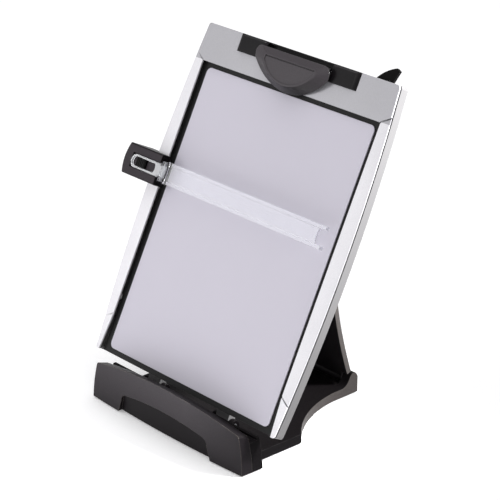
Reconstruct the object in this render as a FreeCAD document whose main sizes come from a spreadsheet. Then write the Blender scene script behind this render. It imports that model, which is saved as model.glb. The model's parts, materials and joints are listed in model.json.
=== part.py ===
# Copy holder with a sliding line guide.
#
# Frame: +X to the right, +Y to the rear, +Z up. The base stands on Z = 0 and the origin is the
# centre of the front foot strip. Millimetres and degrees.
# The board's pieces are drawn lying flat (X across, Y up the board, Z out of its face), with their
# origin where a sheet of paper stands, and each is then laid back by the board's angle.
import FreeCAD, Part
import math
import os
import Sketcher

os.makedirs("parts", exist_ok=True)
doc = FreeCAD.newDocument("copy_holder")
sheet = doc.addObject("Spreadsheet::Sheet", "sizes")

DRIVING_SIZES = [
    # base
    ("foot_height", 1.0, "gap under the mouldings"),
    ("foot_thick", 1.6, "rubber foot, partly let in"),
    ("foot_strip_width", 6.0, "front foot strip, front to rear"),
    ("foot_disc_radius", 6.0, "rear foot"),
    ("front_reach", 20.4, "origin to the middle of the front face at its foot"),
    ("ledge_back", 5.3, "origin to the ledge's rear face"),
    ("block_reach", 6.0, "origin to the rear of the front block"),
    ("tray_reach", 59.4, "origin to the end of the straight side walls"),
    ("rear_reach", 162.7, "origin to the rear face"),
    ("ledge_half", 98.4, "half width of the ledge at its front corners"),
    ("ledge_flare", 0.4, "how much wider the block is at its rear"),
    ("ledge_taper", 5.2, "how much narrower the ledge is at its top corners"),
    ("ledge_rise", 6.2, "rear top corners of the ledge above the slot's floor"),
    ("ledge_crown", 6.6, "rise of the ledge's rear top edge at the middle"),
    ("ledge_swell", 3.1, "how much more its front top edge rises at the middle"),
    ("ledge_bow", 3.6, "how far the front face bows forward"),
    ("ledge_lean", 2.2, "how far the front face leans back over its height"),
    ("ledge_slope", 18.5, "slope of the ledge's top face at its ends, down to the rear, degrees"),
    ("ledge_side_bulge", 1.0, "bulge of the ledge's ends"),
    ("ledge_wall", 2.4, "walls of the ledge moulding"),
    ("ledge_corner", 3.0, "rounding of the ledge's top corners"),
    ("recess_half", 61.0, "half width of the panel sunk in the ledge, at its foot"),
    ("recess_taper", 4.6, "how much narrower it is at its top"),
    ("recess_height", 23.4, "height of its crown above the desk"),
    ("recess_crown", 4.2, "rise of its top edge"),
    ("recess_corner", 6.5, "rounding of its top corners"),
    ("recess_depth", 4.2, "how deep it is at its foot"),
    ("recess_top_depth", 0.6, "how deep it is at its top"),
    ("slot_floor", 26.0, "floor that the paper stands on"),
    ("slot_lip", 3.0, "thickness of the lip behind the slot"),
    ("slot_lip_rise", 2.0, "height of that lip"),
    ("tray_half", 87.7, "half width of the tray"),
    ("deck_height", 9.3, "top of the tray"),
    ("deck_wall", 2.2, "walls and top of the tray"),
    ("waist_half", 49.0, "half width at the rear"),
    ("waist_reach", 133.0, "origin to the end of the curved sides"),
    ("waist_hollow", 8.1, "hollow of the tray's curved sides"),
    ("cheek_thick", 9.0, "cheeks that hold the leg"),
    ("cheek_rise", 11.6, "top of the cheeks above the tray"),
    ("cheek_length", 20.6, "cheeks, front to rear, with their run-out"),
    ("lug_thick", 5.0, "lugs that hold the board's pins"),
    ("lug_radius", 5.0, "round head of a lug"),
    ("pivot_y", 11.5, "board pivot, behind the origin"),
    ("pivot_drop", 4.0, "board pivot below the slot's floor"),
    ("pivot_centre", 45.0, "middle of each board hinge from the centre line"),
    ("pivot_knuckle", 15.4, "length of each hinge knuckle on the board"),
    ("pivot_pin_radius", 2.0, "board hinge pins"),
    ("knuckle_wall", 2.6, "board hinge knuckles round their pins"),
    ("tab_half", 6.0, "tabs that hold the ledge, half width"),
    ("tab_inset", 28.1, "tabs from the ledge's front corners"),
    ("tab_thick", 2.0, "tabs"),
    ("boss_wall", 1.8, "screw bosses round their screws"),
    ("screw_radius", 1.3, "screw shanks"),
    ("screw_head_radius", 2.6, "screw heads"),
    ("screw_head", 1.6, "height of a screw head"),
    # leg
    ("hinge_inset", 6.7, "leg hinge from the rear face"),
    ("leg_pin_radius", 2.2, "leg hinge pin"),
    ("leg_barrel_wall", 2.8, "barrel of the leg round its pin"),
    ("trough", 1.2, "trough in the tray under the leg's barrel"),
    ("leg_length", 168.0, "hinge to the middle of the tip"),
    ("leg_thick", 5.0, "rim of the leg"),
    ("leg_skin", 2.4, "front skin of the leg"),
    ("leg_shoulder", 9.5, "hinge to where the leg widens above the cheeks"),
    ("leg_top_half", 92.0, "half width of the leg at its top"),
    ("leg_hollow", 5.5, "hollow of the leg's curved sides"),
    ("tip_radius", 4.0, "rubber tip"),
    ("tip_inset", 26.0, "ends of the tip from the leg's top corners"),
    # board
    ("board_angle", 63.4, "board above the desk, degrees"),
    ("board_foot_y", -2.7, "where the paper stands, behind the origin"),
    ("paper_play", 0.2, "paper above the slot's floor"),
    ("frame_half", 116.5, "half width of the board at its corners"),
    ("frame_bow", 7.4, "how far each side bows out"),
    ("frame_bottom", 11.0, "lower edge of the board above the paper's foot"),
    ("frame_top", 313.0, "upper edge of the board above the paper's foot"),
    ("frame_corner", 3.0, "corner rounding of the board"),
    ("frame_face", 1.0, "front of the bezel in front of the paper plane"),
    ("frame_back", 10.0, "back of the board behind the paper plane"),
    ("bezel_thick", 2.0, "bezel"),
    ("parting", 1.0, "depth and height of the groove between bezel and shell"),
    ("shell_wall", 2.2, "walls of the back shell"),
    ("rail_width", 6.8, "side rails of the bezel at the corners"),
    ("head_width", 33.0, "top bar of the bezel"),
    ("window_flare_rise", 34.0, "where the opening starts to widen, above the lower edge"),
    ("window_flare", 2.7, "how much wider it is at the foot"),
    ("rail_tilt", 4.5, "tilt of the side rails' faces, degrees"),
    ("seam_rise", 5.5, "slope of the seams across a rail"),
    ("seam_width", 0.8, "seams between the rails and the ends of the bezel"),
    ("seam_depth", 0.7, "depth of those seams"),
    ("panel_face", 3.5, "black panel behind the paper plane"),
    ("panel_thick", 2.0, "black panel"),
    ("memo_thick", 1.2, "writing panel"),
    ("memo_side", 6.2, "writing panel from the opening's sides"),
    ("memo_end", 4.0, "writing panel from the opening's ends"),
    ("memo_corner", 5.0, "corner rounding of the writing panel"),
    ("rib_thick", 2.0, "ribs inside the back shell"),
    ("rib_pitch", 80.0, "distance between those ribs"),
    # clip
    ("clip_half", 73.0, "half width of the clip's housing"),
    ("clip_width", 15.5, "housing from the board's upper edge"),
    ("clip_face", 3.2, "front of the housing"),
    ("clip_floor", 2.8, "floor of the housing"),
    ("clip_bevel", 4.0, "bevel at the housing's ends"),
    ("pocket_half", 42.0, "half width of the pocket under the jaw"),
    ("jaw_half", 45.0, "half width of the jaw where its sides turn"),
    ("jaw_top_half", 45.4, "half width of the jaw at its top"),
    ("jaw_top_inset", 4.2, "top edge of the jaw below the board's upper edge"),
    ("jaw_shoulder", 7.0, "rounding of the jaw's top corners"),
    ("jaw_crest_shoulder", 3.5, "rounding of the crest's top corners"),
    ("jaw_field_depth", 0.5, "field sunk in the crest"),
    ("jaw_field_inset", 2.0, "field from the crest's edge"),
    ("jaw_reach", 36.5, "tip of the jaw below the board's upper edge"),
    ("jaw_bow", 22.0, "height of the jaw's round end"),
    ("jaw_tilt", 12.5, "rise of the jaw's rim away from its tip, degrees"),
    ("jaw_crest_half", 32.0, "half width of the jaw's crest"),
    ("groove_from_top", 10.2, "end of the crest below the board's upper edge"),
    ("jaw_crest_inset", 5.0, "crest from the jaw's tip"),
    ("jaw_crest_bow", 16.5, "height of the crest's round end"),
    ("jaw_height", 9.6, "crest in front of the paper plane"),
    ("jaw_wall", 2.2, "wall of the jaw"),
    ("jaw_pin_inset", 8.0, "jaw pin below the board's upper edge"),
    ("jaw_pin_back", 0.5, "jaw pin behind the paper plane"),
    ("jaw_pin_radius", 1.5, "jaw pin"),
    ("jaw_barrel_wall", 1.7, "barrels of the jaw round their pin"),
    ("groove_width", 0.9, "groove across the jaw"),
    ("groove_depth", 0.9, "groove across the jaw"),
    ("groove_inset", 0.9, "groove below the end of the crest"),
    # pen clip
    ("pen_inset", 26.5, "pen clip from the board's corner"),
    ("pen_plate_half", 10.0, "half width of the pen clip's plate"),
    ("pen_plate_reach", 51.0, "that plate below the board's upper edge"),
    ("pen_plate_thick", 2.4, "that plate"),
    ("pen_radius", 5.6, "inside of the pen clip's ring"),
    ("pen_wall", 1.8, "wall of the ring"),
    ("pen_ring_length", 24.0, "length of the ring"),
    ("pen_mouth_half", 4.3, "half width of the ring's mouth"),
    ("fin_rise", 12.8, "fin above the board's top edge"),
    # rack for the leg
    ("rack_margin", 4.0, "rack beyond the ends of the leg's tip"),
    ("rack_thick", 4.0, "rack"),
    ("rack_above", 15.0, "rack above its first notch"),
    ("rack_below", 17.0, "rack below its last notch"),
    ("notch_pitch", 20.0, "distance between notches"),
    ("notch_depth", 1.6, "notches of the rack"),
    # guide carriage
    ("guide_centre", 177.0, "middle of the guide above the paper's foot"),
    ("slider_half", 14.0, "half height of the slider"),
    ("slider_play", 1.7, "slider beside the board's edge where that is widest"),
    ("slider_reach", 24.0, "outer end of the slider from its inside"),
    ("slider_overlap", 12.0, "slider over the board, from the board's corner"),
    ("slider_bulge", 2.8, "bulge of its outer end"),
    ("slider_face", 12.0, "front of the slider"),
    ("slider_crown", 1.8, "rounding of the slider's front edges"),
    ("slider_gap", 0.6, "gap between the slider and the bezel"),
    ("slider_wall", 1.8, "walls of the slider"),
    ("slider_plate", 5.1, "rear plate of the slider"),
    ("track_inset", 7.5, "guide track from the board's corner"),
    ("track_web_half", 2.0, "half width of the track's web"),
    ("track_head_half", 4.5, "half width of the track's head"),
    ("track_head", 1.2, "thickness of the track's head"),
    ("track_depth", 3.0, "height of the track"),
    ("track_end_low", 27.0, "track from the board's lower edge"),
    ("track_end_high", 21.0, "track from the board's upper edge"),
    ("tongue_thick", 2.0, "clear tongue"),
    ("tongue_half", 6.0, "half width of the tongue"),
    ("tongue_inset", 8.5, "tongue from the slider's outer end"),
    ("tongue_slot_half", 4.1, "half width of its slot"),
    ("tongue_slot_inset", 5.5, "inner end of its slot from the slider's inner end"),
    ("tongue_rise", 1.1, "tongue in front of the slider's face"),
    ("button_inset", 22.1, "lock button from the slider's outer end"),
    ("button_half", 5.5, "half length of the lock button"),
    ("button_height_half", 3.8, "half height of the lock button"),
    ("button_rise", 1.9, "button in front of the slider's face"),
    ("button_foot", 5.6, "rear of the button in front of the paper plane"),
    ("button_spring_radius", 2.6, "button spring"),
    ("button_travel", 1.5, "travel of the button"),
    ("hinge_offset", 3.7, "guide hinge from the slider's inner end"),
    ("hinge_n", 9.6, "guide hinge in front of the paper plane"),
    ("hinge_radius", 2.6, "guide hinge knuckles"),
    ("hinge_pin_radius", 1.0, "guide hinge pin"),
    ("hinge_knuckle_half", 5.0, "half length of the middle knuckle"),
    ("bar_half", 9.8, "half height of the line guide"),
    ("bar_short", 8.7, "line guide short of the opening's far side"),
    ("bar_rib", 3.0, "ribs along the guide's edges"),
    ("bar_rib_low", 5.4, "rear of the ribs"),
    ("bar_rib_high", 9.4, "front of the ribs"),
    ("bar_web_low", 6.4, "rear of the guide's web"),
    ("bar_web_high", 8.0, "front of the guide's web"),
    ("bar_notch", 6.0, "how far the web ends before the ribs"),
    ("bar_notch_hollow", 3.0, "hollow of the web's end"),
    # fits
    ("running_fit", 0.05, "radial clearance of a pin that turns"),
    ("side_gap", 0.3, "gap beside pieces that move"),
    ("tip_gap", 0.5, "gap between the leg's tip and its rack"),
]


class Size:
    """A number together with the spreadsheet formula that it comes from."""

    def __init__(self, value, text):
        self.value = value
        self.text = text

    def __add__(self, other):
        return combine(self, "+", other)

    def __radd__(self, other):
        return combine(other, "+", self)

    def __sub__(self, other):
        return combine(self, "-", other)

    def __rsub__(self, other):
        return combine(other, "-", self)

    def __mul__(self, other):
        return combine(self, "*", other)

    def __rmul__(self, other):
        return combine(other, "*", self)

    def __truediv__(self, other):
        return combine(self, "/", other)

    def __neg__(self):
        return combine(-1, "*", self)


OPERATIONS = {
    "+": lambda a, b: a + b,
    "-": lambda a, b: a - b,
    "*": lambda a, b: a * b,
    "/": lambda a, b: a / b,
}


def size(number):
    """A plain number as a Size."""
    if isinstance(number, Size):
        return number
    return Size(float(number), "(%r)" % float(number))


def combine(left, sign, right):
    """Two sizes or numbers joined by an arithmetic sign, as a Size."""
    left = size(left)
    right = size(right)
    value = OPERATIONS[sign](left.value, right.value)
    return Size(value, "(%s %s %s)" % (left.text, sign, right.text))


def root(number):
    return Size(math.sqrt(number.value), "sqrt(%s)" % number.text)


def sine(angle):
    return Size(math.sin(math.radians(angle.value)), "sin(%s)" % angle.text)


def cosine(angle):
    return Size(math.cos(math.radians(angle.value)), "cos(%s)" % angle.text)


def tangent(angle):
    return Size(math.tan(math.radians(angle.value)), "tan(%s)" % angle.text)


def arc_sine(ratio):
    return Size(math.degrees(math.asin(ratio.value)), "(asin(%s) / (1 deg))" % ratio.text)


class DrivingSizes:
    """The spreadsheet's cells by name."""


def fill_sheet():
    """Write the driving sizes to the spreadsheet and return them by name."""
    named = DrivingSizes()
    for row, (alias, value, note) in enumerate(DRIVING_SIZES, start=1):
        sheet.set("A%d" % row, alias)
        sheet.set("B%d" % row, str(value))
        sheet.set("C%d" % row, note)
        sheet.setAlias("B%d" % row, alias)
        setattr(named, alias, Size(float(value), "sizes.%s" % alias))
    doc.recompute()
    return named


d = fill_sheet()
parts = []

# sizes that follow from the driving ones
d.board_foot_z = d.slot_floor + d.paper_play
d.pivot_z = d.slot_floor - d.pivot_drop
d.knuckle_radius = d.pivot_pin_radius + d.knuckle_wall
d.ledge_height = d.slot_floor + d.ledge_rise
d.ledge_top = d.ledge_height + d.ledge_crown + d.ledge_swell + tangent(d.ledge_slope) * d.front_reach
d.block_height = d.slot_floor + d.slot_lip_rise
d.block_half = d.ledge_half + d.ledge_flare
d.tab_centre = d.ledge_half - d.tab_inset
d.foot_strip_half = d.tab_centre
d.boss_radius = d.screw_radius + d.boss_wall
d.cheek_height = d.deck_height + d.cheek_rise
d.leg_barrel_radius = d.leg_pin_radius + d.leg_barrel_wall
d.hinge_y = d.rear_reach - d.hinge_inset
d.hinge_z = d.deck_height - d.trough + d.side_gap + d.leg_barrel_radius
d.leg_low_half = d.waist_half - d.side_gap
d.tip_half = d.leg_top_half - d.tip_inset
d.rack_half = d.tip_half + d.rack_margin
d.slider_back = d.frame_back + 0.4 + d.slider_plate
d.window_half = d.frame_half - d.rail_width
d.window_top = d.frame_top - d.head_width
d.window_flare_start = d.frame_bottom + d.window_flare_rise
d.memo_half = d.window_half - d.memo_side
d.memo_bottom = d.frame_bottom + d.memo_end + 1
d.memo_top = d.window_top - d.memo_end
d.clip_bottom = d.frame_top - d.clip_width
d.jaw_tip = d.frame_top - d.jaw_reach
d.jaw_pin_up = d.frame_top - d.jaw_pin_inset
d.jaw_barrel_radius = d.jaw_pin_radius + d.jaw_barrel_wall
d.pen_x = d.frame_half - d.pen_inset
d.pen_plate_low = d.frame_top - d.pen_plate_reach
d.slider_channel = d.frame_half + d.frame_bow + d.slider_play
d.slider_left = d.slider_channel + d.slider_reach
d.slider_right = d.frame_half - d.slider_overlap
d.track_x = d.frame_half - d.track_inset
d.track_low = d.frame_bottom + d.track_end_low
d.track_high = d.frame_top - d.track_end_high
d.tongue_left = d.slider_left - d.tongue_inset
d.tongue_slot_right = d.slider_right + d.tongue_slot_inset
d.button_x = d.slider_left - d.button_inset
d.hinge_x = d.slider_right - d.hinge_offset
d.bar_right = d.window_half - d.bar_short


# ---------------------------------------------------------------- drawing helpers

def new_body(label):
    """An empty body whose label names its file."""
    body = doc.addObject("PartDesign::Body", label)
    body.Label = label
    body.AllowCompound = True
    parts.append(body)
    return body


def place(body, x=0, y=0, z=0, angle=0):
    """Put a body at a point, turned about X."""
    y, z, angle = size(y), size(z), size(angle)
    turn = FreeCAD.Rotation(FreeCAD.Vector(1, 0, 0), angle.value)
    body.Placement = FreeCAD.Placement(FreeCAD.Vector(x, y.value, z.value), turn)
    body.setExpression("Placement.Base.y", y.text)
    body.setExpression("Placement.Base.z", z.text)
    body.setExpression("Placement.Rotation.Angle", angle.text)


def board_body(label):
    """A body that lies on the board."""
    body = new_body(label)
    place(body, y=d.board_foot_y, z=d.board_foot_z, angle=d.board_angle)
    return body


def new_sketch(body, name, plane, lift):
    """A sketch on one of the body's own origin planes, moved along its normal."""
    lift = size(lift)
    support = [item for item in body.Origin.OriginFeatures if item.Role == plane + "_Plane"][0]
    sketch = body.newObject("Sketcher::SketchObject", name + "_sketch")
    sketch.AttachmentSupport = [(support, "")]
    sketch.MapMode = "FlatFace"
    sketch.AttachmentOffset = FreeCAD.Placement(FreeCAD.Vector(0, 0, lift.value), FreeCAD.Rotation())
    sketch.setExpression("AttachmentOffset.Base.z", lift.text)
    return sketch


def bind_constraint(sketch, kind, target, number):
    """Add a dimension to a sketch and tie it to the spreadsheet."""
    index = sketch.addConstraint(Sketcher.Constraint(kind, *target, number.value))
    sketch.setExpression("Constraints[%d]" % index, number.text)


def arc_between(start, end, bulge):
    """The arc from start to end that stands out by bulge on the right of that direction.

    Returns it with the numbers of its first and last points: a sketch keeps every arc turning
    anticlockwise."""
    chord = end.sub(start)
    side = 1.0 if bulge > 0 else -1.0
    sagitta = abs(bulge)
    radius = (chord.Length ** 2 / 4 + sagitta ** 2) / (2 * sagitta)
    right = FreeCAD.Vector(chord.y, -chord.x, 0).normalize().multiply(side)
    centre = start.add(end).multiply(0.5).add(right.multiply(sagitta - radius))
    from_centre = start.sub(centre)
    to_centre = end.sub(centre)
    first = math.atan2(from_centre.y, from_centre.x)
    last = math.atan2(to_centre.y, to_centre.x)
    ends = (1, 2)
    if side < 0:
        first, last = last, first
        ends = (2, 1)
    while last < first:
        last += 2 * math.pi
    circle = Part.Circle(centre, FreeCAD.Vector(0, 0, 1), radius)
    return Part.ArcOfCircle(circle, first, last), ends


def arc_radius(start, end, bulge):
    """The radius of that arc as a formula."""
    across = (end[0] - start[0]) * (end[0] - start[0]) + (end[1] - start[1]) * (end[1] - start[1])
    return (across / 4 + bulge * bulge) / (2 * bulge)


def draw_outline(sketch, corners, bulges=None):
    """A closed outline through the corners; bulges gives the arcs by the corner they start at."""
    bulges = bulges or {}
    corners = [(size(x), size(y)) for x, y in corners]
    count = len(corners)
    first = sketch.GeometryCount
    ends = []
    for index, corner in enumerate(corners):
        following = corners[(index + 1) % count]
        start = FreeCAD.Vector(corner[0].value, corner[1].value, 0)
        end = FreeCAD.Vector(following[0].value, following[1].value, 0)
        if index in bulges:
            curve, pair = arc_between(start, end, size(bulges[index]).value)
        else:
            curve, pair = Part.LineSegment(start, end), (1, 2)
        sketch.addGeometry(curve, False)
        ends.append(pair)
    for index in range(count):
        following = (index + 1) % count
        joint = (first + index, ends[index][1], first + following, ends[following][0])
        sketch.addConstraint(Sketcher.Constraint("Coincident", *joint))
    for index, (x, y) in enumerate(corners):
        point = (-1, 1, first + index, ends[index][0])
        bind_constraint(sketch, "DistanceX", point, x)
        bind_constraint(sketch, "DistanceY", point, y)
    for index, bulge in bulges.items():
        bulge = size(bulge)
        if bulge.value < 0:
            bulge = -bulge
        radius = arc_radius(corners[index], corners[(index + 1) % count], bulge)
        bind_constraint(sketch, "Radius", (first + index,), radius)


def draw_circle(sketch, x, y, radius):
    """A circle about (x, y)."""
    x, y, radius = size(x), size(y), size(radius)
    centre = FreeCAD.Vector(x.value, y.value, 0)
    index = sketch.addGeometry(Part.Circle(centre, FreeCAD.Vector(0, 0, 1), radius.value), False)
    bind_constraint(sketch, "DistanceX", (-1, 1, index, 3), x)
    bind_constraint(sketch, "DistanceY", (-1, 1, index, 3), y)
    bind_constraint(sketch, "Radius", (index,), radius)


def lift_and_length(plane, start, end):
    """Where a sketch goes, and how far it is padded, to fill start to end along its axis."""
    if plane == "XZ":
        return -size(end), size(end) - start
    return size(start), size(end) - start


def extrude(body, name, sketch, length, cut):
    """A pad along the sketch's normal, or a pocket the same way."""
    kind = "PartDesign::Pocket" if cut else "PartDesign::Pad"
    feature = body.newObject(kind, name)
    feature.Profile = sketch
    feature.Length = length.value
    feature.setExpression("Length", length.text)
    feature.Reversed = cut
    return feature


def prism(body, name, corners, start, end, plane="XY", bulges=None, cut=False):
    """Add or cut an outline between two stations along the plane's axis."""
    lift, length = lift_and_length(plane, start, end)
    sketch = new_sketch(body, name, plane, lift)
    draw_outline(sketch, corners, bulges)
    return extrude(body, name, sketch, length, cut)


def loft(body, name, sketches, cut=False):
    """Straight walls from the first sketch to the last."""
    kind = "PartDesign::SubtractiveLoft" if cut else "PartDesign::AdditiveLoft"
    feature = body.newObject(kind, name)
    feature.Profile = sketches[0]
    feature.Sections = sketches[1:]
    feature.Ruled = True
    return feature


def rod(body, name, centres, radius, start, end, plane="XY", cut=False):
    """Add or cut round bars about each of the centres."""
    lift, length = lift_and_length(plane, start, end)
    sketch = new_sketch(body, name, plane, lift)
    for x, y in centres:
        draw_circle(sketch, x, y, radius)
    return extrude(body, name, sketch, length, cut)


def tube(body, name, centres, radius, bore, start, end, plane="XY"):
    """Add hollow round bars about each of the centres."""
    lift, length = lift_and_length(plane, start, end)
    sketch = new_sketch(body, name, plane, lift)
    for x, y in centres:
        draw_circle(sketch, x, y, radius)
        draw_circle(sketch, x, y, bore)
    return extrude(body, name, sketch, length, False)


def rectangle(low_x, high_x, low_y, high_y):
    """The corners of a rectangle, anticlockwise."""
    return [(low_x, low_y), (high_x, low_y), (high_x, high_y), (low_x, high_y)]


def block(body, name, x_span, y_span, z_span, cut=False):
    """Add or cut a box."""
    return prism(body, name, rectangle(*x_span, *y_span), z_span[0], z_span[1], cut=cut)


def on_side(side, low, high):
    """A span on the right of the centre line, or the same one on the left."""
    if side > 0:
        return size(low), size(high)
    return -size(high), -size(low)


def round_edges(body, name, radius, wanted):
    """Round the body's edges that the test picks out."""
    doc.recompute()
    base = body.Tip
    edges = []
    for index, edge in enumerate(base.Shape.Edges, start=1):
        if wanted(edge):
            edges.append("Edge%d" % index)
    fillet = body.newObject("PartDesign::Fillet", name)
    fillet.Base = (base, edges)
    fillet.Radius = size(radius).value
    fillet.setExpression("Radius", size(radius).text)
    return fillet


def runs_along(edge, axis):
    """Whether an edge is straight and runs along X, Y or Z (0, 1 or 2)."""
    if not isinstance(edge.Curve, Part.Line):
        return False
    direction = edge.Curve.Direction
    return abs(abs((direction.x, direction.y, direction.z)[axis]) - 1) < 1e-6


def near(value, number, tolerance=0.05):
    return abs(value - size(number).value) < tolerance


# ---------------------------------------------------------------- base

BOTH = (-1, 1)
lug_gap = d.side_gap
lug_inner = d.pivot_centre - d.pivot_knuckle / 2 - lug_gap - d.lug_thick
lug_outer = d.pivot_centre + d.pivot_knuckle / 2 + lug_gap
ledge_back = -d.ledge_back
front_slope = d.ledge_lean / d.ledge_top
side_slope = d.ledge_taper / (d.ledge_height - d.foot_height)
cheek_start = d.rear_reach - d.cheek_length
cheek_run = d.cheek_length
cheek_inner = d.waist_half - d.cheek_thick


def make_base_tray():
    """Tray with the front block, the curved sides, the leg's cheeks and the board's lugs."""
    body = new_body("base_tray")
    outline = [
        (-d.tray_half, 0), (d.tray_half, 0), (d.tray_half, d.tray_reach),
        (d.waist_half + 0.5, d.waist_reach), (d.waist_half, d.rear_reach),
        (-d.waist_half, d.rear_reach), (-d.waist_half - 0.5, d.waist_reach),
        (-d.tray_half, d.tray_reach),
    ]
    prism(body, "deck", outline, d.foot_height, d.cheek_height,
          bulges={2: -d.waist_hollow, 6: -d.waist_hollow})
    above = d.cheek_height + 5
    rear = d.rear_reach + 1
    profile = [
        (-1, d.deck_height), (cheek_start, d.deck_height),
        (cheek_start + cheek_run * 0.44, d.deck_height + d.cheek_rise * 0.43),
        (cheek_start + cheek_run * 0.58, d.cheek_height - 1.7),
        (d.rear_reach - 3.1, d.cheek_height - 0.7), (d.rear_reach, d.cheek_height - 5.4),
        (rear, d.cheek_height - 5.4), (rear, above), (-1, above),
    ]
    prism(body, "side_profile", profile, -d.tray_half - 1, d.tray_half + 1, plane="YZ",
          bulges={1: 1.55, 3: -1.2, 4: -0.5}, cut=True)
    block(body, "between_cheeks", (-cheek_inner, cheek_inner), (cheek_start - 20, d.rear_reach + 1),
          (d.deck_height, above), cut=True)
    block(body, "barrel_trough", (-cheek_inner, cheek_inner),
          (d.hinge_y - d.leg_barrel_radius - 1, rear), (d.deck_height - d.trough, above), cut=True)
    rise = (d.block_height - d.foot_height) / (d.ledge_height - d.ledge_corner - d.foot_height)
    block_top = d.block_half - side_slope * (d.block_height - d.foot_height)
    block_top = block_top + d.ledge_side_bulge * 4 * rise * (1 - rise)
    bulge = d.ledge_side_bulge * rise * rise
    front_block = [
        (-d.block_half, d.foot_height), (d.block_half, d.foot_height),
        (block_top, d.block_height), (-block_top, d.block_height),
    ]
    prism(body, "front_block", front_block, ledge_back, d.block_reach, plane="XZ",
          bulges={1: bulge, 3: bulge})
    block(body, "paper_slot", (-d.block_half - 1, d.block_half + 1),
          (ledge_back - 1, d.block_reach - d.slot_lip), (d.slot_floor, d.block_height + 5), cut=True)
    for side in BOTH:
        for name, start in (("inner_lug", lug_inner), ("outer_lug", lug_outer)):
            span = on_side(side, start, start + d.lug_thick)
            lug = [
                (d.pivot_y - d.lug_radius, d.deck_height - 1), (d.pivot_y + d.lug_radius, d.deck_height - 1),
                (d.pivot_y + d.lug_radius, d.pivot_z), (d.pivot_y - d.lug_radius, d.pivot_z),
            ]
            prism(body, name, lug, span[0], span[1], plane="YZ", bulges={2: d.lug_radius - 0.01})
        tab = on_side(side, d.tab_centre - d.tab_half, d.tab_centre + d.tab_half)
        block(body, "ledge_tab", tab, (ledge_back - 6, ledge_back + 1),
              (d.foot_height, d.foot_height + d.tab_thick))
        rod(body, "tab_hole", [(side * d.tab_centre, ledge_back - 3)], d.screw_radius + 0.1,
            d.foot_height - 1, d.foot_height + d.tab_thick + 1, cut=True)
    rod(body, "pivot_bores", [(d.pivot_y, d.pivot_z)], d.pivot_pin_radius, -lug_outer - d.lug_thick - 1,
        lug_outer + d.lug_thick + 1, plane="YZ", cut=True)
    rod(body, "leg_bore", [(d.hinge_y, d.hinge_z)], d.leg_pin_radius, -d.waist_half - 5,
        cheek_inner + d.cheek_thick / 2, plane="YZ", cut=True)
    hollow_top = d.deck_height - d.deck_wall
    hollow_front = d.block_reach + 1
    middle = d.tray_half / 3
    for side in BOTH:
        inner = on_side(side, 1, middle - 1)
        outer = on_side(side, middle + 1, d.tray_half - d.deck_wall)
        block(body, "inner_hollow", inner, (hollow_front, d.tray_reach), (0, hollow_top), cut=True)
        block(body, "outer_hollow", outer, (hollow_front, d.tray_reach), (0, hollow_top), cut=True)
        rear = on_side(side, 1, cheek_inner - 2)
        block(body, "rear_hollow", rear, (d.tray_reach + 2, cheek_start - 3), (0, hollow_top), cut=True)
    block(body, "strip_seat", (-d.foot_strip_half, d.foot_strip_half),
          (-d.foot_strip_width / 2, d.foot_strip_width / 2), (0, d.foot_thick), cut=True)
    rod(body, "disc_seats", [(side * rear_foot_x, rear_foot_y) for side in BOTH], d.foot_disc_radius,
        0, d.foot_thick, cut=True)


rear_foot_x = cheek_inner - d.foot_disc_radius + 2
rear_foot_y = d.rear_reach - d.cheek_length / 2


def make_base_feet():
    """A rubber strip under the front block and two discs under the cheeks."""
    body = new_body("base_feet")
    block(body, "strip", (-d.foot_strip_half, d.foot_strip_half),
          (-d.foot_strip_width / 2, d.foot_strip_width / 2), (0, d.foot_thick))
    rod(body, "discs", [(side * rear_foot_x, rear_foot_y) for side in BOTH], d.foot_disc_radius,
        0, d.foot_thick)


def ledge_section(body, name, station):
    """The ledge's outline seen from the front, at one station: narrower and higher to the front."""
    ahead = -size(station) - d.ledge_back
    half = d.block_half - d.ledge_flare * (ahead + 0.3) / (d.front_reach - d.ledge_bow - d.ledge_back)
    side_top = d.ledge_height - d.ledge_corner + tangent(d.ledge_slope) * ahead
    corner_top = d.ledge_height + tangent(d.ledge_slope) * ahead
    side_x = half - side_slope * (d.ledge_height - d.ledge_corner - d.foot_height)
    corner_x = half - d.ledge_taper - d.ledge_corner
    sketch = new_sketch(body, name, "XZ", -size(station))
    corners = [
        (-half, d.foot_height), (half, d.foot_height), (side_x, side_top), (corner_x, corner_top),
        (-corner_x, corner_top), (-side_x, side_top),
    ]
    crown = d.ledge_crown - 0.4 + d.ledge_swell * ahead / (d.front_reach + 1 - d.ledge_back)
    corner = d.ledge_corner * 0.28
    side = d.ledge_side_bulge
    draw_outline(sketch, corners, {1: side, 2: corner, 3: crown, 4: corner, 5: side})
    return sketch


def ledge_bow_at(across):
    """How far the bowed face falls back at this distance from the middle."""
    return d.ledge_bow * across * across / (d.ledge_half * d.ledge_half)


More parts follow.
